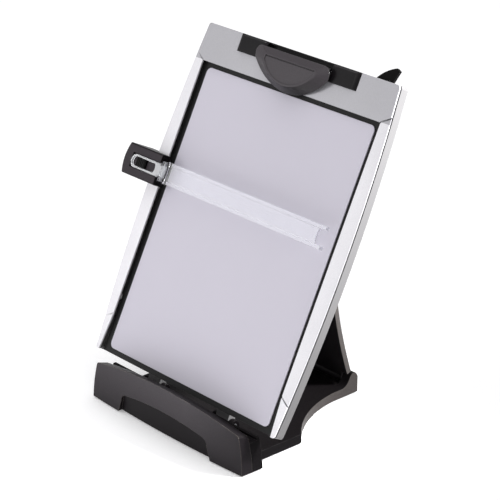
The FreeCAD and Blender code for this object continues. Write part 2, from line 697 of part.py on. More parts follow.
def make_front_ledge():
    """The arched front moulding that keeps the paper from sliding off."""
    body = new_body("front_ledge")
    front = -d.front_reach - 1
    loft(body, "plate", [ledge_section(body, "rear", ledge_back), ledge_section(body, "front", front)])
    wide = d.block_half + 3
    bow = ledge_bow_at(wide)
    cutters = []
    for name, height in (("foot_line", size(0)), ("top_line", d.ledge_top + 5)):
        line = -d.front_reach + bow + front_slope * height
        sketch = new_sketch(body, name, "XY", height)
        corners = rectangle(-wide, wide, -d.front_reach - 5, line)
        draw_outline(sketch, corners, {2: -bow})
        cutters.append(sketch)
    loft(body, "bowed_face", cutters, cut=True)
    sunk_top = d.recess_height - d.recess_crown
    sunk_x = d.recess_half - d.recess_taper
    sunk = [
        (-d.recess_half, 0), (d.recess_half, 0), (sunk_x, sunk_top - d.recess_corner),
        (sunk_x - d.recess_corner, sunk_top), (-sunk_x + d.recess_corner, sunk_top),
        (-sunk_x, sunk_top - d.recess_corner),
    ]
    corner = d.recess_corner * 0.28
    panel_half = d.recess_half + 0.5
    panel_bow = ledge_bow_at(panel_half)
    panel_rear = d.recess_depth - d.front_reach + panel_bow + 0.5
    prism(body, "sunk_panel", sunk, -d.front_reach - 1, panel_rear, plane="XZ",
          bulges={2: corner, 3: d.recess_crown, 4: corner}, cut=True)
    panel = []
    panel_top = d.recess_height + 0.5
    for name, height, depth in (("panel_foot", d.foot_height, d.recess_depth),
                                ("panel_top", panel_top, d.recess_top_depth)):
        line = -d.front_reach + panel_bow + front_slope * height + depth
        sketch = new_sketch(body, name, "XY", height)
        corners = rectangle(-panel_half, panel_half, line, panel_rear + 0.5)
        draw_outline(sketch, corners, {0: panel_bow})
        panel.append(sketch)
    loft(body, "sloping_panel", panel)
    hollow_front = panel_rear + d.ledge_wall - 0.5
    hollow_top = d.ledge_height - d.ledge_wall * 2
    hollow_half = d.block_half - d.ledge_taper - d.ledge_wall * 2
    block(body, "hollow", (-hollow_half, hollow_half), (hollow_front, ledge_back - 0.8),
          (0, hollow_top), cut=True)
    for side in BOTH:
        span = on_side(side, d.tab_centre - d.tab_half - 0.3, d.tab_centre + d.tab_half + 0.3)
        block(body, "tab_gap", span, (ledge_back - 1, ledge_back + 1),
              (0, d.foot_height + d.tab_thick + 0.2), cut=True)
        tube(body, "boss", [(side * d.tab_centre, ledge_back - 3)], d.boss_radius - 0.6, d.screw_radius,
             d.foot_height + d.tab_thick, hollow_top + 1)


def make_base_screws():
    """Two screws that hold the ledge, from below."""
    body = new_body("base_screws")
    centres = [(side * d.tab_centre, ledge_back - 3) for side in BOTH]
    rod(body, "shanks", centres, d.screw_radius, d.foot_height - 0.2, d.foot_height + d.tab_thick + 9)


def make_board_pins():
    """The two steel pins that the board turns on."""
    body = new_body("board_pivot_pins")
    for side in BOTH:
        span = on_side(side, lug_inner, lug_outer + d.lug_thick)
        rod(body, "pin", [(d.pivot_y, d.pivot_z)], d.pivot_pin_radius, span[0], span[1], plane="YZ")


def make_leg_pin():
    """The steel pin that the leg turns on."""
    body = new_body("leg_hinge_pin")
    rod(body, "pin", [(d.hinge_y, d.hinge_z)], d.leg_pin_radius, -d.waist_half + 1,
        cheek_inner + d.cheek_thick / 2, plane="YZ")


# ---------------------------------------------------------------- leg

tip_line = -d.frame_back - d.rack_thick - d.tip_gap - d.tip_radius
hinge_behind = d.hinge_y - d.board_foot_y
hinge_above = d.hinge_z - d.board_foot_z
hinge_out = cosine(d.board_angle) * hinge_above - sine(d.board_angle) * hinge_behind
hinge_up = cosine(d.board_angle) * hinge_behind + sine(d.board_angle) * hinge_above
tip_out = tip_line - hinge_out
tip_up = hinge_up + root(d.leg_length * d.leg_length - tip_out * tip_out)
leg_angle = d.board_angle + arc_sine(tip_out / d.leg_length)


def leg_body(label):
    """A body drawn flat with its origin on the leg's hinge, then stood up."""
    body = new_body(label)
    place(body, y=d.hinge_y, z=d.hinge_z, angle=leg_angle)
    return body


def make_support_leg():
    """The flared rear leg: a skin with a rim and ribs, on a full-width barrel."""
    body = leg_body("support_leg")
    neck = cheek_inner - d.side_gap
    half_thick = d.leg_thick / 2
    outline = [
        (-neck, 0), (neck, 0), (neck, d.leg_shoulder), (d.leg_low_half, d.leg_shoulder),
        (d.leg_top_half, d.leg_length - 2), (-d.leg_top_half, d.leg_length - 2),
        (-d.leg_low_half, d.leg_shoulder), (-neck, d.leg_shoulder),
    ]
    prism(body, "plate", outline, -half_thick, half_thick,
          bulges={3: -d.leg_hollow, 5: -d.leg_hollow})
    rod(body, "barrel", [(0, 0)], d.leg_barrel_radius, -neck, neck, plane="YZ")
    rim = 4
    low = d.leg_barrel_radius + 3
    rib_gap = 2
    waist = d.leg_low_half - rim
    top = d.leg_length - 10
    half_way = (low + top) / 2
    spread = (d.leg_top_half - d.leg_low_half) / 2 + d.leg_low_half - rim - d.leg_hollow
    lower = [
        (rib_gap, low + 6), (waist - 2, low + 6), (spread, half_way - rib_gap),
        (rib_gap, half_way - rib_gap),
    ]
    upper = [
        (rib_gap, half_way + rib_gap), (spread, half_way + rib_gap),
        (d.leg_top_half - rim * 2, top), (rib_gap, top),
    ]
    for side in BOTH:
        for name, pocket in (("lower_pocket", lower), ("upper_pocket", upper)):
            corners = [(side * x, y) for x, y in pocket]
            prism(body, name, corners, -half_thick - 1, half_thick - d.leg_skin, cut=True)
    rod(body, "bore", [(0, 0)], d.leg_pin_radius + d.running_fit, -neck - 1, neck + 1, plane="YZ", cut=True)
    rod(body, "tip_seat", [(d.leg_length, 0)], d.tip_radius, -d.tip_half, d.tip_half, plane="YZ", cut=True)


def make_leg_tip():
    """The rubber bar along the leg's top edge, which leans on the rack."""
    body = leg_body("leg_tip_pad")
    rod(body, "bar", [(d.leg_length, 0)], d.tip_radius, -d.tip_half, d.tip_half, plane="YZ")


# ---------------------------------------------------------------- board

shell_front = d.frame_face - d.bezel_thick
boss_top = -d.panel_face - d.panel_thick
post_places = []
for side in BOTH:
    post_places.append((side * (d.window_half + 5.2), d.frame_bottom + 49))
    post_places.append((side * (d.window_half + 7.3), (d.frame_top + d.frame_bottom) / 2))
    post_places.append((side * (d.clip_half + d.frame_half) / 2, d.frame_top - 10))


def board_outline(inset=0):
    """The board's outline with its bowed sides, moved in by inset."""
    half = d.frame_half - inset
    return [
        (-half, d.frame_bottom + inset), (half, d.frame_bottom + inset),
        (half, d.frame_top - inset), (-half, d.frame_top - inset),
    ]


def is_board_corner(edge):
    """The four corner edges of the board, running through its thickness."""
    middle = edge.CenterOfMass
    if not runs_along(edge, 2):
        return False
    at_end = near(middle.y, d.frame_bottom) or near(middle.y, d.frame_top)
    return at_end and near(abs(middle.x), d.frame_half)


def make_back_shell():
    """The tub behind the bezel, with posts, ribs and the knuckles of the board's hinge."""
    body = board_body("back_shell")
    bows = {1: d.frame_bow, 3: d.frame_bow}
    parting_line = shell_front - d.parting
    prism(body, "tub", board_outline(), -d.frame_back, parting_line, bulges=bows)
    round_edges(body, "corners", d.frame_corner, is_board_corner)
    prism(body, "parting", board_outline(d.parting + 0.2), parting_line, shell_front, bulges=bows)
    prism(body, "inside", board_outline(d.shell_wall), -d.frame_back + d.shell_wall, shell_front + 1,
          bulges=bows, cut=True)
    panel_half = d.window_half + 1
    block(body, "panel_foot", (-panel_half, panel_half),
          (d.frame_bottom - 1, d.frame_bottom + d.shell_wall + 1), (boss_top, shell_front + 1), cut=True)
    block(body, "clip_gap", (-d.clip_half - d.side_gap, d.clip_half + d.side_gap),
          (d.frame_top - d.shell_wall - 1, d.frame_top + 1), (-d.frame_back + d.shell_wall, shell_front + 1),
          cut=True)
    floor = -d.frame_back + d.shell_wall
    for step in range(3):
        up = (d.frame_top + d.frame_bottom) / 2 - d.rib_thick + (step - 1) * d.rib_pitch
        block(body, "rib", (-d.window_half, d.window_half), (up, up + d.rib_thick), (floor - 0.5, boss_top))
    tube(body, "posts", post_places, d.boss_radius, d.screw_radius + 0.2, floor - 0.5, boss_top)
    rod(body, "screw_holes", post_places, d.screw_radius + 0.2, -d.frame_back - 1, boss_top + 1, cut=True)
    rod(body, "head_seats", post_places, d.screw_head_radius + 0.2, -d.frame_back - 1,
        -d.frame_back + d.screw_head, cut=True)
    arm = [
        (pivot_up, pivot_out + d.knuckle_radius), (d.frame_bottom + 1, -d.frame_back + 1),
        (d.frame_bottom + 15, -d.frame_back + 1), (d.frame_bottom + 15, -d.frame_back - 0.5),
        (pivot_up + 3, pivot_out - d.knuckle_radius + 1.1), (pivot_up, pivot_out),
    ]
    for side in BOTH:
        half = d.pivot_knuckle / 2
        span = on_side(side, d.pivot_centre - half, d.pivot_centre + half)
        prism(body, "hinge_arm", arm, span[0], span[1], plane="YZ")
        rod(body, "knuckle", [(pivot_up, pivot_out)], d.knuckle_radius, span[0], span[1], plane="YZ")
    reach = d.pivot_centre + d.pivot_knuckle
    rod(body, "pivot_bores", [(pivot_up, pivot_out)], d.pivot_pin_radius + d.running_fit, -reach, reach,
        plane="YZ", cut=True)


pivot_behind = d.pivot_y - d.board_foot_y
pivot_above = d.pivot_z - d.board_foot_z
pivot_up = cosine(d.board_angle) * pivot_behind + sine(d.board_angle) * pivot_above
pivot_out = cosine(d.board_angle) * pivot_above - sine(d.board_angle) * pivot_behind


def make_front_frame():
    """The silver bezel: flat across the top, with side rails that fall away outward."""
    body = board_body("front_frame")
    prism(body, "plate", board_outline(), shell_front, d.frame_face, bulges={1: d.frame_bow, 3: d.frame_bow})
    round_edges(body, "corners", d.frame_corner, is_board_corner)
    window = [
        (-d.window_half - d.window_flare, d.frame_bottom - 1),
        (d.window_half + d.window_flare, d.frame_bottom - 1),
        (d.window_half, d.window_flare_start), (d.window_half, d.window_top),
        (-d.window_half, d.window_top), (-d.window_half, d.window_flare_start),
    ]
    prism(body, "window", window, shell_front - 1, d.frame_face + 1, cut=True)
    block(body, "clip_gap", (-d.clip_half - d.side_gap, d.clip_half + d.side_gap),
          (d.clip_bottom - d.side_gap, d.frame_top + 1), (shell_front - 1, d.frame_face + 1), cut=True)
    for side in BOTH:
        tilt_rail(body, side)
    tube(body, "bosses", post_places, d.boss_radius, d.screw_radius, boss_top, shell_front + 0.5)


def rail_sketch(body, name, side, under):
    """A sketch on one side rail's tilted face, or that far under it."""
    sketch = new_sketch(body, name, "XY", 0)
    turn = FreeCAD.Rotation(FreeCAD.Vector(0, 1, 0), side * d.rail_tilt.value)
    start = side * d.window_half
    height = d.frame_face - under
    sketch.AttachmentOffset = FreeCAD.Placement(FreeCAD.Vector(start.value, 0, height.value), turn)
    sketch.setExpression("AttachmentOffset.Base.x", start.text)
    sketch.setExpression("AttachmentOffset.Base.z", height.text)
    sketch.setExpression("AttachmentOffset.Rotation.Angle", d.rail_tilt.text)
    return sketch


def tilt_rail(body, side):
    """Plane one side rail down towards its outer edge, between two slanted seams."""
    width = d.frame_half + d.frame_bow - d.window_half + 2
    slope = width * (d.seam_rise / 9)
    inner = side * -0.5
    outer = side * width
    low = d.window_flare_start
    high = d.window_top
    sketch = rail_sketch(body, "rail_tilt", side, size(0))
    draw_outline(sketch, [(inner, low), (outer, low - slope), (outer, high + slope), (inner, high)])
    extrude(body, "rail_face", sketch, size(3), True)
    for up, way in ((low, -1), (high, 1)):
        seam = rail_sketch(body, "rail_seam", side, d.seam_depth)
        far = up + way * slope
        draw_outline(seam, [
            (inner, up - d.seam_width), (outer, far - d.seam_width / 4),
            (outer, far + d.seam_width / 4), (inner, up + d.seam_width),
        ])
        extrude(body, "seam", seam, size(3), True)


def make_inner_panel():
    """The black panel that closes the bezel's opening from behind."""
    body = board_body("inner_panel")
    half = d.window_half + 0.9
    block(body, "plate", (-half, half), (d.frame_bottom, d.clip_bottom - 4), (boss_top, -d.panel_face))


def make_memo_panel():
    """The white writing panel."""
    body = board_body("memo_panel")
    block(body, "plate", (-d.memo_half, d.memo_half), (d.memo_bottom, d.memo_top),
          (-d.panel_face, -d.panel_face + d.memo_thick))
    round_edges(body, "corners", d.memo_corner, lambda edge: runs_along(edge, 2))


def make_frame_screws():
    """Screws from the back that pull the bezel onto the shell."""
    body = board_body("frame_screws")
    seat = -d.frame_back + d.screw_head
    rod(body, "heads", post_places, d.screw_head_radius, -d.frame_back + 0.2, seat)
    rod(body, "shanks", post_places, d.screw_radius, seat - 0.5, shell_front - 0.5)


def make_leg_rack():
    """The rack on the board's back with a notch for each angle of the board."""
    body = board_body("leg_rack")
    back = -d.frame_back - d.rack_thick
    low = tip_up - d.notch_pitch * 2 - d.rack_below
    block(body, "plate", (-d.rack_half, d.rack_half), (low, tip_up + d.rack_above), (back, -d.frame_back))
    depth = d.tip_radius - d.notch_depth
    rod(body, "notches", [(tip_up - d.notch_pitch * step, back - depth) for step in range(3)], d.tip_radius,
        -d.rack_half - 1, d.rack_half + 1, plane="YZ", cut=True)


def make_guide_track():
    """The straight T-shaped track behind the left side, which the slider runs on."""
    body = board_body("guide_track")
    web = (-d.track_x - d.track_web_half, -d.track_x + d.track_web_half)
    head = (-d.track_x - d.track_head_half, -d.track_x + d.track_head_half)
    rear = -d.frame_back - d.track_depth
    block(body, "web", web, (d.track_low, d.track_high), (rear, -d.frame_back))
    block(body, "head", head, (d.track_low, d.track_high), (rear, rear + d.track_head))


def make_pen_clip():
    """The clip behind the top edge that holds the marker, with its fin above the edge."""
    body = board_body("pen_clip")
    rear = -d.frame_back - d.pen_plate_thick
    left = d.pen_x - d.pen_plate_half
    right = d.pen_x + d.pen_plate_half
    fin_top = d.frame_top + d.fin_rise
    outline = [
        (left, d.pen_plate_low), (right, d.pen_plate_low), (right - 1.8, d.frame_top),
        (right + 1.5, fin_top - 1.7), (right - 2.4, fin_top), (left - 0.6, d.frame_top + 0.5),
    ]
    prism(body, "plate", outline, rear, -d.frame_back, bulges={4: 1.6})
    ring_out = rear - d.pen_radius - d.pen_wall + 0.6
    start = d.pen_plate_low + 4
    end = start + d.pen_ring_length
    rod(body, "ring", [(d.pen_x, ring_out)], d.pen_radius + d.pen_wall, start, end, plane="XZ")
    rod(body, "ring_bore", [(d.pen_x, ring_out)], d.pen_radius, start - 1, end + 1, plane="XZ", cut=True)
    mouth = rectangle(d.pen_x - d.pen_mouth_half, d.pen_x + d.pen_mouth_half, ring_out - 12, ring_out)
    prism(body, "ring_mouth", mouth, start - 1, end + 1, plane="XZ", cut=True)


# ---------------------------------------------------------------- clip

jaw_base = d.frame_face + d.side_gap
pin_spot = [(d.jaw_pin_up, -d.jaw_pin_back)]
pocket_top = d.frame_top - 1.5
jaw_end = d.jaw_reach - d.jaw_top_inset
jaw_ceiling = d.jaw_height - d.jaw_wall
crest_top = d.jaw_reach - d.groove_from_top


def make_clip_housing():
    """The black housing let into the top of the board."""
    body = board_body("clip_housing")
    rear = -d.frame_back + d.shell_wall
    floor = rear + d.clip_floor
    over = d.clip_face + 1
    low = d.clip_face - d.clip_bevel / 2
    block(body, "case", (-d.clip_half, d.clip_half), (d.clip_bottom, d.frame_top), (rear, d.clip_face))
    for side in BOTH:
        end = side * d.clip_half
        bevel = [
            (end, low), (end + side, low), (end + side, over),
            (end - side * (d.clip_bevel + 1), over), (end - side * d.clip_bevel, d.clip_face),
        ]
        prism(body, "end_bevel", bevel, d.clip_bottom - 1, d.frame_top + 1, plane="XZ", cut=True)
    bevel = [
        (d.frame_top, low), (d.frame_top + 1, low), (d.frame_top + 1, over),
        (d.frame_top - d.clip_bevel / 2 - 1, over), (d.frame_top - d.clip_bevel / 2, d.clip_face),
    ]
    prism(body, "top_bevel", bevel, -d.clip_half - 1, d.clip_half + 1, plane="YZ", cut=True)
    block(body, "jaw_pocket", (-d.pocket_half, d.pocket_half), (d.clip_bottom + 2, pocket_top),
          (floor, over), cut=True)
    block(body, "front_gap", (-d.pocket_half, d.pocket_half), (d.clip_bottom - 1, d.clip_bottom + 3),
          (d.frame_face - 0.1, over), cut=True)
    block(body, "rear_gap", (-d.pocket_half, d.pocket_half), (pocket_top - 1, d.frame_top + 1),
          (-d.jaw_pin_back - 1.4, over), cut=True)
    reach = d.pocket_half + 5
    rod(body, "pin_bore", pin_spot, d.jaw_pin_radius, -reach, reach, plane="YZ", cut=True)


def jaw_outline(sketch, top_half, top, half, bow, tip, shoulder):
    """The jaw's outline: a straight top edge with round shoulders, and a round lower end."""
    turn = tip + bow
    corners = [
        (top_half - shoulder, top), (-top_half + shoulder, top), (-top_half, top - shoulder),
        (-half, turn), (half, turn), (top_half, top - shoulder),
    ]
    draw_outline(sketch, corners, {1: shoulder * 0.28, 3: bow, 5: shoulder * 0.28})


def rim_sketch(body, name, under):
    """A sketch on the plane of the jaw's rim, which rises away from its tip, or under it."""
    sketch = new_sketch(body, name, "XY", 0)
    turn = FreeCAD.Rotation(FreeCAD.Vector(1, 0, 0), d.jaw_tilt.value)
    height = jaw_base - under
    sketch.AttachmentOffset = FreeCAD.Placement(FreeCAD.Vector(0, d.jaw_tip.value, height.value), turn)
    sketch.setExpression("AttachmentOffset.Base.y", d.jaw_tip.text)
    sketch.setExpression("AttachmentOffset.Base.z", height.text)
    sketch.setExpression("AttachmentOffset.Rotation.Angle", d.jaw_tilt.text)
    return sketch


def make_clip_jaw():
    """The domed lever that presses the paper onto the board."""
    body = board_body("clip_jaw")
    wall = d.jaw_wall
    rim_top = jaw_end / cosine(d.jaw_tilt)
    crest_tip = d.jaw_tip + d.jaw_crest_inset
    crest_end = d.jaw_tip + crest_top
    rim = rim_sketch(body, "rim", size(0))
    jaw_outline(rim, d.jaw_top_half, rim_top, d.jaw_half, d.jaw_bow, size(0), d.jaw_shoulder)
    crest = new_sketch(body, "crest", "XY", d.jaw_height)
    jaw_outline(crest, d.jaw_crest_half, crest_end, d.jaw_crest_half, d.jaw_crest_bow, crest_tip,
                d.jaw_crest_shoulder)
    loft(body, "dome", [rim, crest])
    field_half = d.jaw_crest_half - d.jaw_field_inset
    field_bow = d.jaw_crest_bow - d.jaw_field_inset
    field_turn = d.jaw_tip + d.jaw_crest_inset + d.jaw_crest_bow
    groove_top = crest_end - d.groove_inset
    field = [
        (field_half, groove_top), (-field_half, groove_top), (-field_half, field_turn),
        (field_half, field_turn),
    ]
    prism(body, "sunk_field", field, d.jaw_height - d.jaw_field_depth, d.jaw_height + 1,
          bulges={2: field_bow}, cut=True)
    block(body, "groove", (-field_half, field_half), (groove_top - d.groove_width, groove_top),
          (d.jaw_height - d.groove_depth, d.jaw_height + 1), cut=True)
    mouth = rim_sketch(body, "mouth", size(1))
    jaw_outline(mouth, d.jaw_top_half - wall * 1.2, rim_top - wall, d.jaw_half - wall * 1.2,
                d.jaw_bow - wall * 0.6, wall * 1.2, d.jaw_shoulder - 1)
    ceiling = new_sketch(body, "ceiling", "XY", jaw_ceiling)
    jaw_outline(ceiling, d.jaw_crest_half - 1.5, crest_end - 0.5, d.jaw_crest_half - 1.5,
                d.jaw_crest_bow - 1, crest_tip + 1.5, size(1))
    loft(body, "underside", [mouth, ceiling], cut=True)
    inner = d.pocket_half - 3.5
    for start, end in ((size(26), inner), (size(-14), size(14)), (-inner, size(-26))):
        rod(body, "barrel", pin_spot, d.jaw_barrel_radius, start, end, plane="YZ")
        web = rectangle(d.jaw_pin_up - 2, d.jaw_pin_up + 2, -d.jaw_pin_back, jaw_ceiling + 0.1)
        prism(body, "barrel_web", web, start, end, plane="YZ")
    rod(body, "bore", pin_spot, d.jaw_pin_radius + d.running_fit, -d.jaw_half - 1, d.jaw_half + 1,
        plane="YZ", cut=True)


def make_clip_pad():
    """The rubber pad under the jaw's tip."""
    body = board_body("clip_pad")
    block(body, "pad", (-14, 14), (d.jaw_tip + 11, d.jaw_tip + 15), (jaw_base, jaw_ceiling))


def make_clip_pin():
    """The steel pin that the jaw turns on."""
    body = board_body("clip_pin")
    reach = d.pocket_half + 5
    rod(body, "pin", pin_spot, d.jaw_pin_radius, -reach, reach, plane="YZ")


def make_clip_springs():
    """Two torsion springs round the jaw's pin."""
    body = board_body("clip_springs")
    for side in BOTH:
        span = on_side(side, 15, 25)
        rod(body, "coil", pin_spot, d.jaw_pin_radius + 1.2, span[0], span[1], plane="YZ")
    rod(body, "coil_bore", pin_spot, d.jaw_pin_radius + 0.2, -26, 26, plane="YZ", cut=True)


# ---------------------------------------------------------------- line guide

slider_low = d.guide_centre - d.slider_half
slider_high = d.guide_centre + d.slider_half
slider_front_low = d.frame_face + d.slider_gap
slider_joint = -d.frame_back - 0.4
slider_inside = d.slider_face + d.tongue_rise - d.tongue_thick - d.side_gap - 1.4
chassis_top = slider_front_low + 1.8
slider_screw_places = [(-d.slider_left + 10, d.guide_centre + side * 8.5) for side in BOTH]


def make_slider_front():
    """The slider's front shell, which wraps round the board's left edge."""
    body = board_body("slider_front")
    outline = [
        (-d.slider_left, slider_low), (-d.slider_right, slider_low),
        (-d.slider_right, slider_high), (-d.slider_left, slider_high),
    ]
    prism(body, "face", outline, slider_front_low, d.slider_face, bulges={3: d.slider_bulge})
    edge = [
        (-d.slider_left, slider_low), (-d.slider_channel, slider_low),
        (-d.slider_channel, slider_high), (-d.slider_left, slider_high),
    ]
    prism(body, "edge_wall", edge, slider_joint, slider_front_low + 1, bulges={3: d.slider_bulge})
    round_edges(body, "soft_edges", d.slider_crown, is_slider_rim)
    wall = d.slider_wall
    inside = (-d.slider_left + wall, -d.slider_right - wall)
    height = (slider_low + wall, slider_high - wall)
    block(body, "inside_front", inside, height, (slider_front_low - 1, slider_inside), cut=True)
    block(body, "inside_edge", (-d.slider_left + wall, -d.slider_channel - wall), height,
          (slider_joint - 1, slider_front_low), cut=True)
    tube(body, "posts", slider_screw_places, d.boss_radius, d.screw_radius, slider_joint,
         slider_inside + 0.5)
    recess_half = d.tongue_half + 0.4
    block(body, "tongue_recess", (-d.tongue_left - 0.6, -d.slider_right + 1),
          (d.guide_centre - recess_half, d.guide_centre + recess_half),
          (tongue_low - d.side_gap, d.slider_face + 1), cut=True)
    block(body, "button_hole",
          (-d.button_x - d.button_half - 0.3, -d.button_x + d.button_half + 0.3),
          (d.guide_centre - d.button_height_half - 0.3, d.guide_centre + d.button_height_half + 0.3),
          (slider_front_low, d.slider_face + 1), cut=True)


def is_slider_rim(edge):
    """The edges round the slider's face."""
    ends = [vertex.Point.z for vertex in edge.Vertexes]
    return len(ends) == 2 and all(near(height, d.slider_face) for height in ends)


tongue_high = d.slider_face + d.tongue_rise
tongue_low = tongue_high - d.tongue_thick


def make_slider_chassis():
    """The plate inside the slider that carries the button's spring."""
    body = board_body("slider_chassis")
    wall = d.slider_wall
    block(body, "plate", (-d.slider_channel - 6, -d.slider_right - wall),
          (slider_low + wall, slider_high - wall), (slider_front_low, chassis_top))


def make_slider_back():
    """The slider's rear half, which hooks over the track."""
    body = board_body("slider_back")
    outline = [
        (-d.slider_left, slider_low), (-d.slider_right + 2, slider_low),
        (-d.slider_right + 2, slider_high), (-d.slider_left, slider_high),
    ]
    prism(body, "plate", outline, -d.slider_back, slider_joint, bulges={3: d.slider_bulge})
    gap = d.side_gap
    rear = -d.frame_back - d.track_depth - gap
    front = rear + d.track_head + gap * 2
    web = (-d.track_x - d.track_web_half - gap, -d.track_x + d.track_web_half + gap)
    head = (-d.track_x - d.track_head_half - gap, -d.track_x + d.track_head_half + gap)
    height = (slider_low - 1, slider_high + 1)
    block(body, "web_slot", web, height, (rear, slider_joint + 1), cut=True)
    block(body, "head_slot", head, height, (rear, front), cut=True)
    for side in BOTH:
        up = d.guide_centre + side * 9
        block(body, "pad_seat", (-d.track_x - 3, -d.track_x + 3), (up - 2.5, up + 2.5),
              (rear - 1.4, rear + 0.2), cut=True)
    rod(body, "screw_holes", slider_screw_places, d.screw_radius + 0.2, -d.slider_back - 1,
        slider_joint + 1, cut=True)
    rod(body, "head_seats", slider_screw_places, d.screw_head_radius + 0.2, -d.slider_back - 1,
        -d.slider_back + d.screw_head, cut=True)


def make_slider_pads():
    """Two felt pads that rub on the track and hold the slider where it is put."""
    body = board_body("slider_pads")
    rear = -d.frame_back - d.track_depth - d.side_gap
    for side in BOTH:
        up = d.guide_centre + side * 9
        block(body, "pad", (-d.track_x - 3, -d.track_x + 3), (up - 2.5, up + 2.5), (rear - 1.4, rear))


def make_slider_screws():
    """Two screws that join the slider's halves."""
    body = board_body("slider_screws")
    seat = -d.slider_back + d.screw_head
    rod(body, "heads", slider_screw_places, d.screw_head_radius, -d.slider_back + 0.2, seat)
    rod(body, "shanks", slider_screw_places, d.screw_radius, seat - 0.5, 4)


def make_guide_button():
    """The ribbed lock button in the tongue's slot."""
    body = board_body("guide_button")
    face = d.slider_face + d.button_rise
    low = d.guide_centre - d.button_height_half
    high = d.guide_centre + d.button_height_half
    left = -d.button_x - d.button_half
    right = -d.button_x + d.button_half
    block(body, "body", (left, right), (low, high), (d.button_foot, face))
    flange_top = slider_inside - 0.2
    block(body, "flange", (left - 1.4, right + 1.4), (low - 1.4, high + 1.4),
          (flange_top - 1.6, flange_top))
    pitch = d.button_half * 2 / 5
    for step in range(5):
        start = left + pitch * step + pitch * 0.55
        block(body, "rib_gap", (start, start + pitch * 0.45), (low - 1, high + 1), (face - 0.6, face + 1),
              cut=True)
    rod(body, "spring_bore", [(-d.button_x, d.guide_centre)], d.button_spring_radius + 0.3,
        d.button_foot - 1, button_spring_top + d.button_travel + 0.2, cut=True)


button_spring_top = d.button_foot + 1.5


def make_button_spring():
    """The button's return spring."""
    body = board_body("button_spring")
    spot = [(-d.button_x, d.guide_centre)]
    tube(body, "coil", spot, d.button_spring_radius, d.button_spring_radius - 0.7, chassis_top,
         button_spring_top)


def make_guide_tongue():
    """The clear tongue with its long slot, ending in the hinge's middle knuckle."""
    body = board_body("guide_tongue")
    up = d.guide_centre
    turn = -d.tongue_left + d.tongue_half
    shoulder = -d.slider_right
    neck = -d.hinge_x
    outline = [
        (turn, up - d.tongue_half), (shoulder, up - d.tongue_half), (neck, up - d.bar_half + 1),
        (neck, up + d.bar_half - 1), (shoulder, up + d.tongue_half), (turn, up + d.tongue_half),
    ]
    prism(body, "plate", outline, tongue_low, tongue_high,
          bulges={1: -0.5, 3: -0.5, 5: d.tongue_half - 0.01})
    slot_turn = turn
    slot = [
        (slot_turn, up - d.tongue_slot_half), (-d.tongue_slot_right, up - d.tongue_slot_half),
        (-d.tongue_slot_right, up + d.tongue_slot_half), (slot_turn, up + d.tongue_slot_half),
    ]
    prism(body, "slot", slot, tongue_low - 1, tongue_high + 1,
          bulges={1: 1.5, 3: d.tongue_slot_half - 0.01}, cut=True)
    for side in BOTH:
        span = (up + side * (d.hinge_knuckle_half + 2.9), up + side * (d.hinge_knuckle_half + 2.9))
        gap = (span[0] - 3.2, span[1] + 3.2)
        block(body, "knuckle_gap", (-d.hinge_x - d.hinge_radius - 0.4, -d.hinge_x + 5), gap,
              (d.hinge_n - d.hinge_radius - 2, tongue_high + 1), cut=True)
    rod(body, "knuckle", hinge_spot, d.hinge_radius, up - d.hinge_knuckle_half, up + d.hinge_knuckle_half,
        plane="XZ")
    rod(body, "bore", hinge_spot, d.hinge_pin_radius + d.running_fit, up - d.bar_half, up + d.bar_half,
        plane="XZ", cut=True)


hinge_spot = [(-d.hinge_x, d.hinge_n)]


def make_line_guide():
    """The clear bar across the page, with a rib along each long edge."""
    body = board_body("line_guide")
    low = d.guide_centre - d.bar_half
    high = d.guide_centre + d.bar_half
    left = -d.hinge_x + d.hinge_radius + 0.6
    web_end = d.bar_right - d.bar_notch
    web = [(left, low), (web_end, low), (web_end, high), (left, high)]
    prism(body, "web", web, d.bar_web_low, d.bar_web_high, bulges={1: -d.bar_notch_hollow})
    for start in (low, high - d.bar_rib):
        block(body, "rib", (left, d.bar_right), (start, start + d.bar_rib), (d.bar_rib_low, d.bar_rib_high))
    for side in BOTH:
        start = d.guide_centre + side * (d.hinge_knuckle_half + 0.3)
        end = d.guide_centre + side * (d.bar_half - 1)
        span = (start, end) if side > 0 else (end, start)
        rod(body, "knuckle", hinge_spot, d.hinge_radius, span[0], span[1], plane="XZ")
        ear = rectangle(-d.hinge_x, left + 1, d.hinge_n - d.hinge_radius, d.hinge_n - 0.4)
        prism(body, "ear", ear, span[0], span[1], plane="XZ")
    rod(body, "bore", hinge_spot, d.hinge_pin_radius, low - 1, high + 1, plane="XZ", cut=True)


def make_guide_pin():
    """The pin of the guide's hinge, held by the bar."""
    body = board_body("guide_hinge_pin")
    rod(body, "pin", hinge_spot, d.hinge_pin_radius, d.guide_centre - d.bar_half + 1,
        d.guide_centre + d.bar_half - 1, plane="XZ")


# ---------------------------------------------------------------- build, check and write

MAKERS = [
    make_base_tray, make_base_feet, make_front_ledge, make_base_screws, make_board_pins, make_leg_pin,
    make_support_leg, make_leg_tip, make_back_shell, make_front_frame, make_inner_panel,
    make_memo_panel, make_frame_screws, make_leg_rack, make_guide_track, make_pen_clip,
    make_clip_housing, make_clip_jaw, make_clip_pad, make_clip_pin, make_clip_springs,
    make_slider_front, make_slider_chassis, make_slider_back, make_slider_pads, make_slider_screws,
    make_guide_button, make_button_spring, make_guide_tongue, make_line_guide, make_guide_pin,
]


def build():
    """Make every piece and stop if anything in the document failed."""
    for make in MAKERS:
        make()
    doc.recompute()
    for item in doc.Objects:
        if "Invalid" in item.State or "Error" in item.State:
            raise RuntimeError("%s is %s" % (item.Label, item.State))
    for body in parts:
        if body.Shape.isNull() or not body.Shape.isValid():
            raise RuntimeError("%s has no valid shape" % body.Label)


